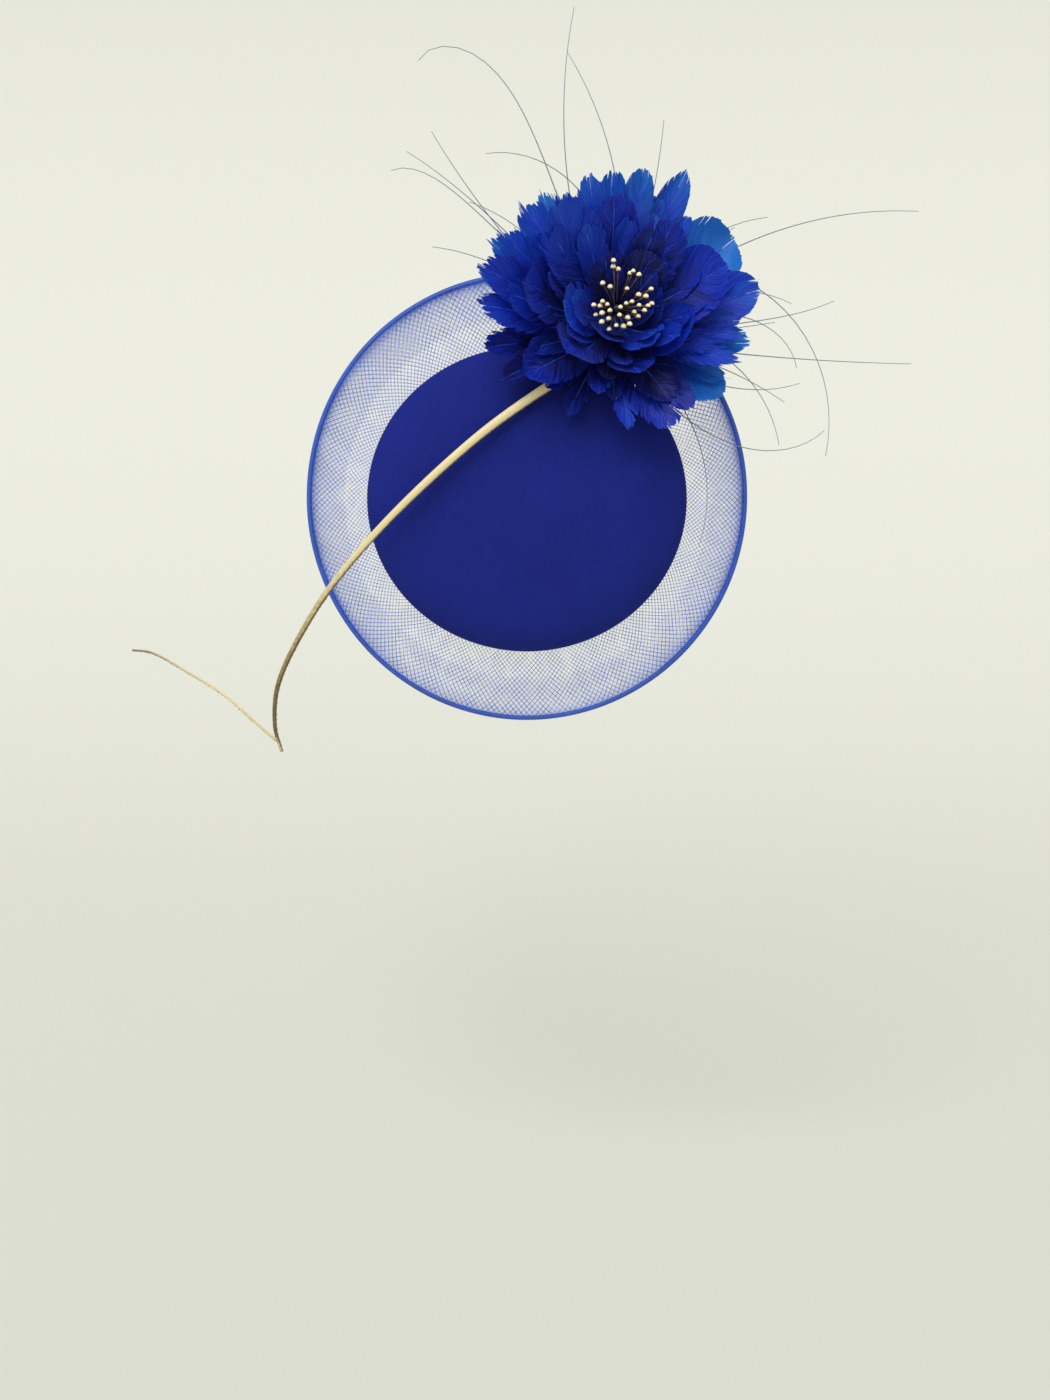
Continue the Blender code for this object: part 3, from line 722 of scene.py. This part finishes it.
def feather(bm, shafts, layers, row, lift, laid, pitch, draw):
    """One feather. Its vane is a grid: each row of faces is a bundle of barbs that leaves the shaft
    towards the tip. Near the edge the rows are split apart, so that their ends fray."""
    span = row["reach"] * FLOWER_RADIUS
    fray = row["fray"]
    rows = max(14, round(BARBS_SPAN * span / pitch))
    grid = bmesh.ops.create_grid(bm, x_segments=rows, y_segments=2 * VANE_COLUMNS, size=1)["verts"]
    faces = {face for vertex in grid for face in vertex.link_faces}
    strips = {face: cells(face.calc_center_median().x, rows) for face in faces}
    splits, locks, slits = parted_barbs(row, rows, draw)
    parted = []
    for edge in {edge for face in faces for edge in face.edges}:
        a, b = edge.verts
        line = round(cells(a.co.x, rows))
        if abs(a.co.x - b.co.x) < 1e-5 and 0 < line < rows:
            middle = (a.co.y + b.co.y) / 2
            if abs(middle) > splits[1 if middle > 0 else -1, line]:
                parted.append(edge)
    bmesh.ops.split_edges(bm, edges=parted)

    shades = [[draw.random() for _ in range(rows)] for _ in range(2)]
    seed = draw.uniform(0, 50)
    twist = draw.uniform(-0.12, 0.12)
    bend = draw.uniform(-0.4, 1.0) * 5 * MM
    point = draw.uniform(0.0, 0.4)
    ripple = draw.uniform(0.4, 1.0) * MM

    def arch(along):
        """How far the feather's outer half bends forward or back."""
        return bend * max(0.0, along - 0.45) ** 2 * 4

    def swell(along, across):
        """A slow wave, which the vane and its shaft share."""
        return 1.8 * noise.noise(Vector((2.2 * along + seed, 1.6 * across, seed)))

    tone, lay = layers
    vertices = {vertex for face in faces for vertex in face.verts}
    placed = {}
    for vertex in vertices:
        own = [strips[face] for face in vertex.link_faces]
        strip = sum(own) / len(own)
        line = cells(vertex.co.x, rows)
        out, side = abs(vertex.co.y), (1 if vertex.co.y > 0 else -1)
        index = min(rows - 1, int(strip))
        # A vertex beside a split has faces on one side only, so the bundle's end can be pinched there
        free = abs(strip - line) > 0.25 and 0.5 < strip < rows - 0.5
        centre, opens, lock_end, barb_end = locks[side, index]
        pinch = 0.75 * share_of(0.93, 1.0, out) if free else 0.0
        at = line + (strip - line) * pinch
        # A lock draws together past the place where it opens, and a slit pushes the barbs apart
        if opens < 1:
            at += (centre - at) * (0.15 + 0.5 * fray) * share_of(opens, 1.0, out)
        for slit_side, slit_line, depth, width in slits:
            if slit_side == side and out > depth:
                away = strip - slit_line
                push = 1.7 * width * share_of(depth, 1.0, out) * exp(-abs(away) / 6)
                at += push if away > 0 else -push
        # A barb starts at root and ends at end, both along the shaft, and its ends are ragged
        share = min(1.0, max(0.0, at / rows))
        ragged = (0.02 + 0.10 * fray) * lock_end + (0.015 + 0.06 * fray) * barb_end
        stretch = out * (1 + ragged * out**2)
        root = BARBS_START + BARBS_SPAN * share
        end = root + (1 - root) * (0.16 + 0.84 * share**1.6) + 0.03 * share**4
        end += 0.4 * ragged * share**3 * out
        along = root + (end - root) * stretch**1.25
        # Towards the tip the barbs lie closer to the shaft, so that it ends round or pointed
        narrow = 0.78 - 0.3 * point
        past = max(0.0, (share - narrow) / (1 - narrow))
        across = side * stretch * (1 - 0.98 * past ** (3.6 - 2.2 * point))
        full = row["width"] * span / 2
        fine = 0.6 * noise.noise(Vector((7 * along, 5 * across + seed, seed)))
        shade = shades[side > 0][index]
        rise = row["cup"] * full * across**2 * along + twist * across * full * along
        rise += arch(along) + ripple * (swell(along, across) + fine) * along
        rise += 0.5 * MM * (shade - 0.5) * stretch**2
        placed[vertex] = laid @ (petal_place(row, lift, across, along) + Vector((0, 0, rise)))
        # How far out towards the thin tip: the mask for the vane's painted light at the tip and
        # painted shade at the root
        thin = min(1.0, max(along, 0.8 * stretch**2))
        vertex[tone] = Vector((row["dye"], thin, shade if free else 0.5))
        vertex[lay] = Vector((at, 0.6 * side * stretch, seed))
    for vertex, place in placed.items():
        vertex.co = place

    route = []
    for i in range(SHAFT_STEPS + 1):
        along = 0.02 + 0.9 * i / SHAFT_STEPS
        rise = arch(along) + ripple * swell(along, 0) * along + 0.15 * MM
        route.append(laid @ (petal_place(row, lift, 0, along) + Vector((0, 0, rise))))
    tube(shafts, route, tapered(*SHAFT_WIDTHS, len(route)), 5)
    loose_barbs(shafts, row, lift, laid, draw)


def feather_ring(ring, values, laid, pitch):
    """All the feathers of one ring, and their shafts, as two meshes."""
    draw = random.Random(SEED + ring)
    vanes, shafts = bmesh.new(), bmesh.new()
    layers = (
        vanes.verts.layers.float_vector.new("tone"),
        vanes.verts.layers.float_vector.new("lay"),
    )
    height = hub_height(ring) + HUB_THICKNESS / 2
    for petal_values in values["petals"]:
        petal = dict(zip(PETAL_COLUMNS, petal_values, strict=True))
        for shares in petal["bundle"]:
            share = dict(zip(BUNDLE_COLUMNS, shares, strict=True))
            row = dict(petal)
            # The draws keep the feathers from being alike, and the inner ones more than the outer
            row["reach"] = petal["reach"] * share["reach"] * draw.uniform(0.98 - 0.04 * ring, 1.02)
            row["width"] = petal["width"] * share["width"]
            row["rise"] = petal["rise"] + share["rise"] + draw.uniform(-1.5, 1.5) * ring
            row["dye"] = max(0.0, petal["dye"] + share["dye"] + draw.uniform(-0.05, 0.05))
            row["cup"] = draw.uniform(0.08, 0.40)
            row["slits"] = petal["slits"] if share["reach"] == 1 else petal["slits"] // 2
            azimuth = petal["azimuth"] + share["offset"] + draw.uniform(-1.5, 1.5)
            turn = Matrix.Rotation(radians(azimuth), 4, "Z")
            place = laid @ Matrix.Translation((0, 0, height)) @ turn
            feather(vanes, shafts, layers, row, values["lift"], place, pitch, draw)
    return vanes, shafts


class FascinatorOperator:
    """What the operators share."""

    bl_options = {"REGISTER", "UNDO"}

    @property
    def sizes(self):
        return bpy.context.scene.fascinator_sizes

    @property
    def colours(self):
        return bpy.context.scene.fascinator_colours


class CoverBase(FascinatorOperator, bpy.types.Operator):
    """Cover the domed base in crepe, with a rolled edge"""

    bl_idname = "fascinator.cover_base"
    bl_label = "Cover the base"

    def execute(self, context):
        look = crepe(self.sizes, self.colours)
        bm = bmesh.new()
        rings, steps = 26, 144
        # From the crown's front out to the rim, and back inside the wall
        profile = []
        for inset, turns in ((0, range(rings + 1)), (WALL, range(rings, -1, -1))):
            for k in turns:
                turn = pi / 2 * k / rings
                share, rise = (max(0, f(turn)) ** (2 / SHOULDER_POWER) for f in (sin, cos))
                radius = (HALF_WIDTH - inset) * share
                profile.append(Vector((radius, -(CROWN - inset) * rise if k < rings else 0, 0)))
        vertex = bmesh.ops.create_vert(bm, co=profile[0])["vert"][0]
        for place in profile[1:]:
            made = bmesh.ops.extrude_vert_indiv(bm, verts=[vertex])
            vertex = made["verts"][0]
            vertex.co = place
        bmesh.ops.spin(
            bm, geom=[*bm.verts, *bm.edges], axis=(0, 1, 0), angle=2 * pi, steps=steps, use_merge=True
        )
        bmesh.ops.scale(bm, vec=(1, 1, HALF_HEIGHT / HALF_WIDTH), verts=bm.verts)
        bmesh.ops.remove_doubles(bm, verts=bm.verts, dist=0.01 * MM)
        cover = piece("base_cover", bm, look, ["base_shell"])
        # Only the rim, where the outside meets the hollow, stays sharp
        cover.data.set_sharp_from_angle(angle=radians(50))
        return {"FINISHED"}


class WeaveBrim(FascinatorOperator, bpy.types.Operator):
    """Weave the brim: a tube of bias net pressed flat, with a close edge and a folded rim"""

    bl_idname = "fascinator.weave_brim"
    bl_label = "Weave the brim"

    inner = (HALF_WIDTH - BRIM_LAP, HALF_HEIGHT - BRIM_LAP)
    outer = BRIM_RADIUS - FOLD_RADIUS - NET_THICKNESS / 2
    front = GAP + NET_THICKNESS / 2

    def place(self, turn, way):
        """A place on the net. way: 0 to 1 across the front, 1 to 2 round the fold, 2 to 3 back."""
        share = min(1.0, way, 3 - way) if not 1 <= way <= 2 else 1.0
        bulge, depth = 0.0, 0.0
        if 1 < way < 2:
            bulge = FOLD_RADIUS * sin(pi * (way - 1))
        if way > 1:
            depth = FOLD_RADIUS * (1 - cos(pi * min(1.0, way - 1)))
        x = (self.inner[0] + (self.outer - self.inner[0]) * share + bulge) * cos(turn)
        z = (self.inner[1] + (self.outer - self.inner[1]) * share + bulge) * sin(turn)
        slack = 0.4 * MM * noise.noise(Vector((3 * cos(turn), 3 * sin(turn), 0.6 * way)))
        return Vector((x, self.front + depth + BRIM_DISH * share + slack, z))

    def threads(self, bm, lines, steps, route, width):
        """Ribbons laid side by side: a grid with every other strip of faces taken out."""
        strips = 2 * lines - 1
        made = bmesh.ops.create_grid(bm, x_segments=strips, y_segments=steps, size=1)["verts"]
        faces = {face for vertex in made for face in vertex.link_faces}
        spare = [face for face in faces if int(cells(face.calc_center_median().x, strips)) % 2]
        bmesh.ops.delete(bm, geom=spare, context="FACES")
        for vertex in made:
            line, side = divmod(round(cells(vertex.co.x, strips)), 2)
            vertex.co = route(line, round(cells(vertex.co.y, steps)), (side - 0.5) * width)

    def execute(self, context):
        """The two layers of threads that cross, each on the bias."""
        sizes, colours = self.sizes, self.colours
        middle = (self.inner[0] + self.outer) / 2
        # Cut on the bias, the threads lie at 45 degrees
        bias = sin(pi / 4)
        lines = round(2 * pi * middle * bias / sizes.net_pitch)
        ways = [part + i / count for part, count in enumerate(NET_STEPS) for i in range(count)]
        ways.append(len(NET_STEPS))
        # A thread turns by log(r2 / r1) as it goes outwards, and on by as much as it comes inwards
        turns = [0.0]
        for a, b in zip(ways, ways[1:]):
            start, end = self.place(0, a), self.place(0, b)
            turns.append(turns[-1] + (end - start).length / ((start.x + end.x) / 2))
        for name, sense in (("crin_net_left", 1), ("crin_net_right", -1)):

            def route(line, step, across, sense=sense):
                turn = 2 * pi * line / lines + sense * turns[step]
                # The threads bunch and part over a centimetre or two, unlike in the two layers
                spot = Vector((9 * cos(turn), 9 * sin(turn), 2.5 * ways[step] + sense))
                drift = 0.007 * noise.noise(spot)
                return self.place(turn + across / bias / middle + drift, ways[step])

            bm = bmesh.new()
            self.threads(bm, lines, len(ways) - 1, route, sizes.net_thread)
            net = piece(name, bm, nylon("crin_net", colours.net), ["crin_brim"])
            thicken(net, sizes.net_thread)
        self.edge(sizes, colours)
        return {"FINISHED"}

    def edge(self, sizes, colours):
        """The fold, where the threads are crowded into a band, and beside it threads that get
        thinner inwards."""
        depth = self.outer - self.inner[0]
        band = BAND_LAP / depth
        bm = bmesh.new()
        grid = bmesh.ops.create_grid(bm, x_segments=RIM_STEPS, y_segments=12, size=1)["verts"]
        for vertex in grid:
            turn = (vertex.co.x + 1) * pi
            vertex.co = self.place(turn, 1.5 + vertex.co.y * (0.5 + band))
        bmesh.ops.remove_doubles(bm, verts=grid, dist=0.01 * MM)
        hem = piece("crin_hem", bm, nylon("crin_hem", colours.band, 0.5))
        thicken(hem, BAND_THICKNESS)
        bm = bmesh.new()
        room = sizes.edge_fade / EDGE_THREADS
        for back in (False, True):

            def ring(line, step, side, back=back):
                # A thread fills almost half of its room at the fold, and less and less inwards
                near = 1 - (line + 0.5) / EDGE_THREADS
                fill = 0.34 * near**7 + 0.09 * near
                inset = (line + 0.5) * room + side * room * fill
                share = 1 - band - inset / depth
                return self.place(2 * pi * step / RIM_STEPS, 3 - share if back else share)

            self.threads(bm, EDGE_THREADS, RIM_STEPS, ring, 1.0)
        tint = tuple((a + b) / 2 for a, b in zip(colours.band, colours.net))
        rows = piece("crin_edge_threads", bm, nylon("crin_edge", tint))
        thicken(rows, sizes.net_thread)


class SeatBacking(FascinatorOperator, bpy.types.Operator):
    """Cut the round of felt that the flower is sewn to"""

    bl_idname = "fascinator.seat_backing"
    bl_label = "Seat the backing"

    def execute(self, context):
        # Pressed wool felt: quite matt, with tufts of about a millimetre
        felt = plain("wool_felt", self.colours.felt, 0.95, 900.0, 0.2 * MM)
        bm = bmesh.new()
        disc = bmesh.ops.create_circle(bm, cap_ends=True, segments=72, radius=BACKING_RADIUS)["verts"]
        bmesh.ops.translate(bm, vec=(0, 0, -BACKING_THICKNESS), verts=disc)
        raised = bmesh.ops.extrude_face_region(bm, geom=bm.faces[:])["geom"]
        top = [item for item in raised if isinstance(item, bmesh.types.BMVert)]
        bmesh.ops.translate(bm, vec=(0, 0, BACKING_THICKNESS), verts=top)
        rims = [edge for edge in bm.edges if abs(edge.verts[0].co.z - edge.verts[1].co.z) < 0.1 * MM]
        bmesh.ops.bevel(
            bm, geom=rims, offset=0.5 * MM, offset_type="OFFSET", segments=3, profile=0.5,
            affect="EDGES", material=-1,
        )
        bmesh.ops.transform(bm, matrix=flower_frame(), verts=bm.verts)
        piece("felt_backing", bm, felt, ["flower_backing"])
        return {"FINISHED"}


class SetFeathers(FascinatorOperator, bpy.types.Operator):
    """Set the flower's feathers, ring by ring"""

    bl_idname = "fascinator.set_feathers"
    bl_label = "Set the feathers"

    def execute(self, context):
        laid = flower_frame()
        dyed, shaft = vane(self.colours), rachis(self.colours)
        for ring, values in enumerate(RINGS):
            row = dict(zip(RING_COLUMNS, values, strict=True))
            vanes, shafts = feather_ring(ring, row, laid, self.sizes.barb_pitch)
            name = row["name"]
            made = piece(name.replace("petals", "feathers"), vanes, dyed, [name])
            thicken(made, self.sizes.vane_thickness)
            made.modifiers.new("even", "WEIGHTED_NORMAL").mode = "FACE_AREA"
            piece(name.replace("petals", "shafts"), shafts, shaft)
        return {"FINISHED"}


class SetStamens(FascinatorOperator, bpy.types.Operator):
    """Set the beaded stamens in the flower's heart"""

    bl_idname = "fascinator.set_stamens"
    bl_label = "Set the stamens"

    def execute(self, context):
        colours = self.colours
        laid = flower_frame()
        lift = radians(RINGS[-1][1])
        clear = PAD_RADIUS + GAP
        seat = max(clear, (clear - HUB_CORE * sin(lift)) / cos(lift))
        pad_height = hub_height(len(RINGS) - 1) + HUB_THICKNESS + seat
        foot = laid @ Vector((0, STAMEN_SHIFT, pad_height))
        sight = (Vector(CAMERA_PLACE) - foot).normalized()
        right = Vector((0, 0, 1)).cross(sight).normalized()
        above = sight.cross(right)
        draw = random.Random(SEED)
        beads, stalks = bmesh.new(), bmesh.new()
        edge = beads.verts.layers.float.new("edge")
        root = stalks.verts.layers.float.new("edge")
        middle = Matrix.Translation(foot)
        bmesh.ops.create_icosphere(stalks, subdivisions=3, radius=PAD_RADIUS, matrix=middle)
        # The pad is painted dark all over: painted shade in the flower's heart
        for vertex in stalks.verts:
            vertex[root] = 1.0
        low = 0.6 * PAD_RADIUS
        for i, (x, z) in enumerate(STAMEN_TIPS):
            aside = right * (x * MM) + above * (z * MM)
            # A stalk that leans far out is longer
            length = max(STAMEN_LENGTH * draw.uniform(0.84, 1.02), 1.3 * aside.length)
            axis = (aside + sight * (length**2 - aside.length_squared) ** 0.5).normalized()
            aim = middle @ aimed(axis)
            neck = length - BEAD_LENGTH / 2
            centre = aim @ Matrix.Translation((0, 0, length))
            shape = Matrix.Diagonal((BEAD_WIDTH / 2, BEAD_WIDTH / 2, BEAD_LENGTH / 2, 1))
            shape = shape @ Matrix.Scale(draw.uniform(0.78, 1.0), 4)
            made = bmesh.ops.create_uvsphere(
                beads, u_segments=16, v_segments=10, radius=1, matrix=centre @ shape
            )["verts"]
            # Painted shade: browner underneath and towards the stalk, where the bead turns from the
            # light
            for vertex in made:
                side = (vertex.co - centre.translation).normalized()
                vertex[edge] = share_of(-0.1, 0.75, -side.z - 0.2 * side.dot(axis))
            # The stalk bends a little, this way or that
            sag = Vector((0.5 * MM * sin(3.1 * i), 0.5 * MM * cos(2.3 * i), 0))
            route = []
            for k in range(STALK_STEPS + 1):
                t = k / STALK_STEPS
                up = low + (neck - low) * t
                route.append(aim @ (Vector((0, 0, up)) + sag * sin(pi * t)))
            # Dark at the foot, where little light comes. One stalk in three is paler there
            pale = draw.choice((0.0, 0.0, -0.6))
            widths = tapered(STALK_WIDTH, STALK_WIDTH, len(route))
            for vertex, step, _ in tube(stalks, route, widths, 6):
                vertex[root] = max(0.0, share_of(5, 1, step) + pale)
        pearl = lacquer("pearl_lacquer", colours.bead, colours.painted_bead_shade, 0.1)
        piece("stamen_beads", beads, pearl, ["stamens"])
        # Thread stiffened in the same gilt lacquer, painted towards the felt's dark colour at the foot
        # and on the pad: painted shade
        thread = lacquer("stiffened_thread", colours.stalk, colours.felt, 0.3)
        piece("stamen_stalks", stalks, thread)
        return {"FINISHED"}


class SetQuill(FascinatorOperator, bpy.types.Operator):
    """Set the long stripped quill, creased near its tip"""

    bl_idname = "fascinator.set_quill"
    bl_label = "Set the quill"

    def execute(self, context):
        colours = self.colours
        laid = flower_frame()
        middle = laid.translation
        height = GAP + QUILL_ROOT_WIDTH * QUILL_FLATNESS / 2
        root = laid @ Vector((*(share * BACKING_RADIUS for share in QUILL_ROOT), height))
        crease = [middle + Vector(place) * QUILL_REACH for place in QUILL_ROUTE]
        tip = [middle + Vector(place) * QUILL_REACH for place in QUILL_TIP_ROUTE]
        parts = (
            ([root, *crease], QUILL_ROOT_WIDTH, QUILL_CREASE_WIDTH, QUILL_SHADE_AND_BROWN),
            (tip, QUILL_CREASE_WIDTH, QUILL_TIP_WIDTH, QUILL_TIP_SHADE_AND_BROWN),
        )
        bm = bmesh.new()
        edge = bm.verts.layers.float.new("edge")
        stations = []
        for points, first, last, shades_and_browns in parts:
            route = smooth_route(points, QUILL_STEPS)
            widths = tapered(first, last, len(route))
            for vertex, step, turn in tube(bm, route, widths, 14, QUILL_FLATNESS):
                at = step / (len(route) - 1) * (len(shades_and_browns) - 1)
                low = min(len(shades_and_browns) - 2, int(at))
                shade_and_brown = shades_and_browns[low] + (shades_and_browns[low + 1] - shades_and_browns[low]) * (at - low)
                # Brownest along one narrow side, on top of the painted shadow at the root and the
                # browning along it
                vertex[edge] = share_of(0.4, 1.0, -cos(2 * pi * turn)) * 0.7 + 0.25 + shade_and_brown
            stations += list(zip(route, widths))[STUBS_FROM:]
        stripped = keratin("stripped_quill", colours.quill, colours.quill_edge)
        piece("quill_shaft", bm, stripped, ["quill"])
        self.stubs(stations, colours)
        return {"FINISHED"}

    def stubs(self, stations, colours):
        """Short ends of barbs left along the quill's lower edge."""
        draw = random.Random(SEED)
        foot, tip = (width / 2 for width in STUB_WIDTHS)
        bm = bmesh.new()
        for (a, width), (b, _) in zip(stations, stations[1:]):
            if (b - a).length > STUBS_GAP:
                continue
            along = (b - a).normalized()
            across = broadside(along)
            for _ in range(4):
                place = a.lerp(b, draw.random()) - across * (0.46 * width)
                lean = (along * draw.uniform(0.2, 1.0) - across).normalized()
                size = draw.uniform(0.3, 0.9) * MM
                spot = Matrix.Translation(place + lean * (size / 2 - 0.1 * MM)) @ aimed(lean)
                bmesh.ops.create_cone(
                    bm, cap_ends=True, segments=4, radius1=foot, radius2=tip, depth=size, matrix=spot
                )
        # Torn barbs: dry and matt, and as brown as the edge they stand on
        torn = plain("barb_stubs", colours.quill_edge, 0.7, 900.0, 0.05 * MM)
        piece("quill_stubs", bm, torn)


class SetSpines(FascinatorOperator, bpy.types.Operator):
    """Set the spray of fine spines behind the flower"""

    bl_idname = "fascinator.set_spines"
    bl_label = "Set the spines"

    def route(self, row, low):
        """A spine in the flower's frame. It leaves the pad flat, turns as it goes, and leans forward
        once it is past the backing."""
        heading = radians(row["start"])
        place = Vector((cos(heading), sin(heading), 0)) * (SPINE_PAD_RADIUS / 3) + Vector((0, 0, low))
        route = [place]
        pace = row["length"] * FLOWER_RADIUS / SPINE_STEPS
        for step in range(SPINE_STEPS):
            late = ((step + 0.5) / SPINE_STEPS) ** row["late"]
            heading = radians(row["start"] + (row["end"] - row["start"]) * late)
            lean = radians(row["lean"]) * min(1, max(0, pace * step / BACKING_RADIUS - 1))
            way = Vector((cos(heading) * cos(lean), sin(heading) * cos(lean), sin(lean)))
            place = place + way * pace
            # Every other place is enough for the tube
            if step % 2:
                route.append(place)
        return route

    def execute(self, context):
        laid = flower_frame()
        top = -BACKING_THICKNESS - GAP
        bm = bmesh.new()
        edge = bm.verts.layers.float.new("edge")
        pad = laid @ Matrix.Translation((0, 0, top - SPINE_PAD_THICKNESS / 2))
        bmesh.ops.create_cone(
            bm, cap_ends=True, segments=24, radius1=SPINE_PAD_RADIUS, radius2=SPINE_PAD_RADIUS,
            depth=SPINE_PAD_THICKNESS, matrix=pad,
        )
        for values in SPINES:
            row = dict(zip(SPINE_COLUMNS, values, strict=True))
            route = [laid @ place for place in self.route(row, top - SPINE_PAD_THICKNESS / 2)]
            widths = tapered(*SPINE_WIDTHS, len(route))
            for vertex, _, turn in tube(bm, route, widths, 6):
                # Painted shade along one side and painted light along the other
                vertex[edge] = share_of(0.0, 1.0, -cos(2 * pi * turn))
        # Stripped as the quill is, with painted shade: a darker copy of the colour along one side of
        # each spine, and a lighter copy along the other
        body = self.colours.spine
        stripped = keratin("stripped_spine", body, toned(body, 0.55), 0.5)
        piece("spines", bm, stripped, ["spine_spray"])
        return {"FINISHED"}


class SetComb(FascinatorOperator, bpy.types.Operator):
    """Finish the comb inside the base as moulded plastic"""

    bl_idname = "fascinator.set_comb"
    bl_label = "Finish the comb"

    def execute(self, context):
        bm = bmesh.new()
        bm.from_mesh(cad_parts["hair_comb"].data)
        bmesh.ops.remove_doubles(bm, verts=bm.verts, dist=0.001 * MM)
        flat = [edge for edge in bm.edges if edge.calc_face_angle(pi) < radians(1)]
        bmesh.ops.dissolve_edges(bm, edges=flat, use_verts=False)
        # Moulded acetate: glossy, with slow waves of a few millimetres in its skin
        acetate = plain("moulded_acetate", self.colours.comb, 0.3, 300.0, 0.02 * MM)
        made = piece("comb", bm, acetate, ["hair_comb"])
        soften = made.modifiers.new("soften", "BEVEL")
        soften.width = 0.25 * MM
        soften.segments = 3
        soften.limit_method = "ANGLE"
        return {"FINISHED"}


class SetStage(FascinatorOperator, bpy.types.Operator):
    """Lay the pale floor and backdrop, and set the lights and the camera"""

    bl_idname = "fascinator.set_stage"
    bl_label = "Set the stage"

    def execute(self, context):
        scene = context.scene
        bm = bmesh.new()
        grid = bmesh.ops.create_grid(bm, x_segments=2, y_segments=60, size=1)["verts"]
        quarter = FLOOR_BEND * pi / 2
        for vertex in grid:
            way = (vertex.co.y + 1) / 2 * FLOOR_LENGTH
            past = max(0.0, way - FLOOR_FLAT)
            turn = min(past, quarter) / FLOOR_BEND
            y = FLOOR_START + min(way, FLOOR_FLAT) + FLOOR_BEND * sin(turn)
            z = FLOOR_HEIGHT + FLOOR_BEND * (1 - cos(turn)) + max(0.0, past - quarter)
            vertex.co = (vertex.co.x * FLOOR_HALF_WIDTH, y, z)
        mesh = bpy.data.meshes.new("floor")
        bm.to_mesh(mesh)
        bm.free()
        mesh.shade_smooth()
        made, tree, out = new_material("pale_floor")
        surface(tree, add(tree, "BsdfDiffuse", {"Color": opaque(self.colours.floor)}), out)
        mesh.materials.append(made)
        floor = bpy.data.objects.new("floor", mesh)
        scene.collection.objects.link(floor)

        world = bpy.data.worlds.new("studio")
        scene.world = world
        world.use_nodes = True
        sky = world.node_tree.nodes["Background"].inputs
        sky["Color"].default_value = (1, 1, 0.985, 1)
        sky["Strength"].default_value = STUDIO_STRENGTH
        # A wide soft light from the upper left, as strong on the backdrop as on the object
        light = bpy.data.lights.new("key", "SUN")
        light.energy = LAMP_STRENGTH
        light.angle = radians(LAMP_WIDTH)
        lamp = bpy.data.objects.new("key", light)
        lamp.rotation_euler = (radians(LAMP_TILT), 0, radians(LAMP_TURN))
        scene.collection.objects.link(lamp)
        camera = bpy.data.cameras.new("camera")
        camera.lens = CAMERA_FOCUS_MM
        camera.sensor_width = CAMERA_FILM_MM
        camera.clip_start = 50 * MM
        holder = bpy.data.objects.new("camera", camera)
        holder.location = CAMERA_PLACE
        holder.rotation_euler = (radians(90 - CAMERA_TILT), 0, 0)
        scene.collection.objects.link(holder)
        scene.camera = holder
        scene.view_settings.view_transform = "Standard"
        return {"FINISHED"}


OPERATORS = (
    CoverBase, WeaveBrim, SeatBacking, SetFeathers, SetStamens, SetQuill, SetSpines, SetComb, SetStage,
)


class FascinatorPanel(bpy.types.Panel):
    """The fascinator's pieces, sizes and colours"""

    bl_idname = "VIEW3D_PT_fascinator"
    bl_label = "Feather fascinator"
    bl_space_type = "VIEW_3D"
    bl_region_type = "UI"
    bl_category = "Fascinator"

    def draw(self, context):
        layout = self.layout
        for operator in OPERATORS:
            layout.operator(operator.bl_idname)
        for group in (context.scene.fascinator_sizes, context.scene.fascinator_colours):
            box = layout.box()
            for name in group.bl_rna.properties.keys():
                if name not in ("rna_type", "name"):
                    box.prop(group, name)


CLASSES = (FascinatorSizes, FascinatorColours, *OPERATORS, FascinatorPanel)


def register():
    for kind in CLASSES:
        bpy.utils.register_class(kind)
    bpy.types.Scene.fascinator_sizes = bpy.props.PointerProperty(type=FascinatorSizes)
    bpy.types.Scene.fascinator_colours = bpy.props.PointerProperty(type=FascinatorColours)


def unregister():
    del bpy.types.Scene.fascinator_colours
    del bpy.types.Scene.fascinator_sizes
    for kind in reversed(CLASSES):
        bpy.utils.unregister_class(kind)


def main():
    register()
    bpy.ops.fascinator.cover_base()
    bpy.ops.fascinator.weave_brim()
    bpy.ops.fascinator.seat_backing()
    bpy.ops.fascinator.set_feathers()
    bpy.ops.fascinator.set_stamens()
    bpy.ops.fascinator.set_quill()
    bpy.ops.fascinator.set_spines()
    bpy.ops.fascinator.set_comb()
    bpy.ops.fascinator.set_stage()


if __name__ == "__main__":
    main()
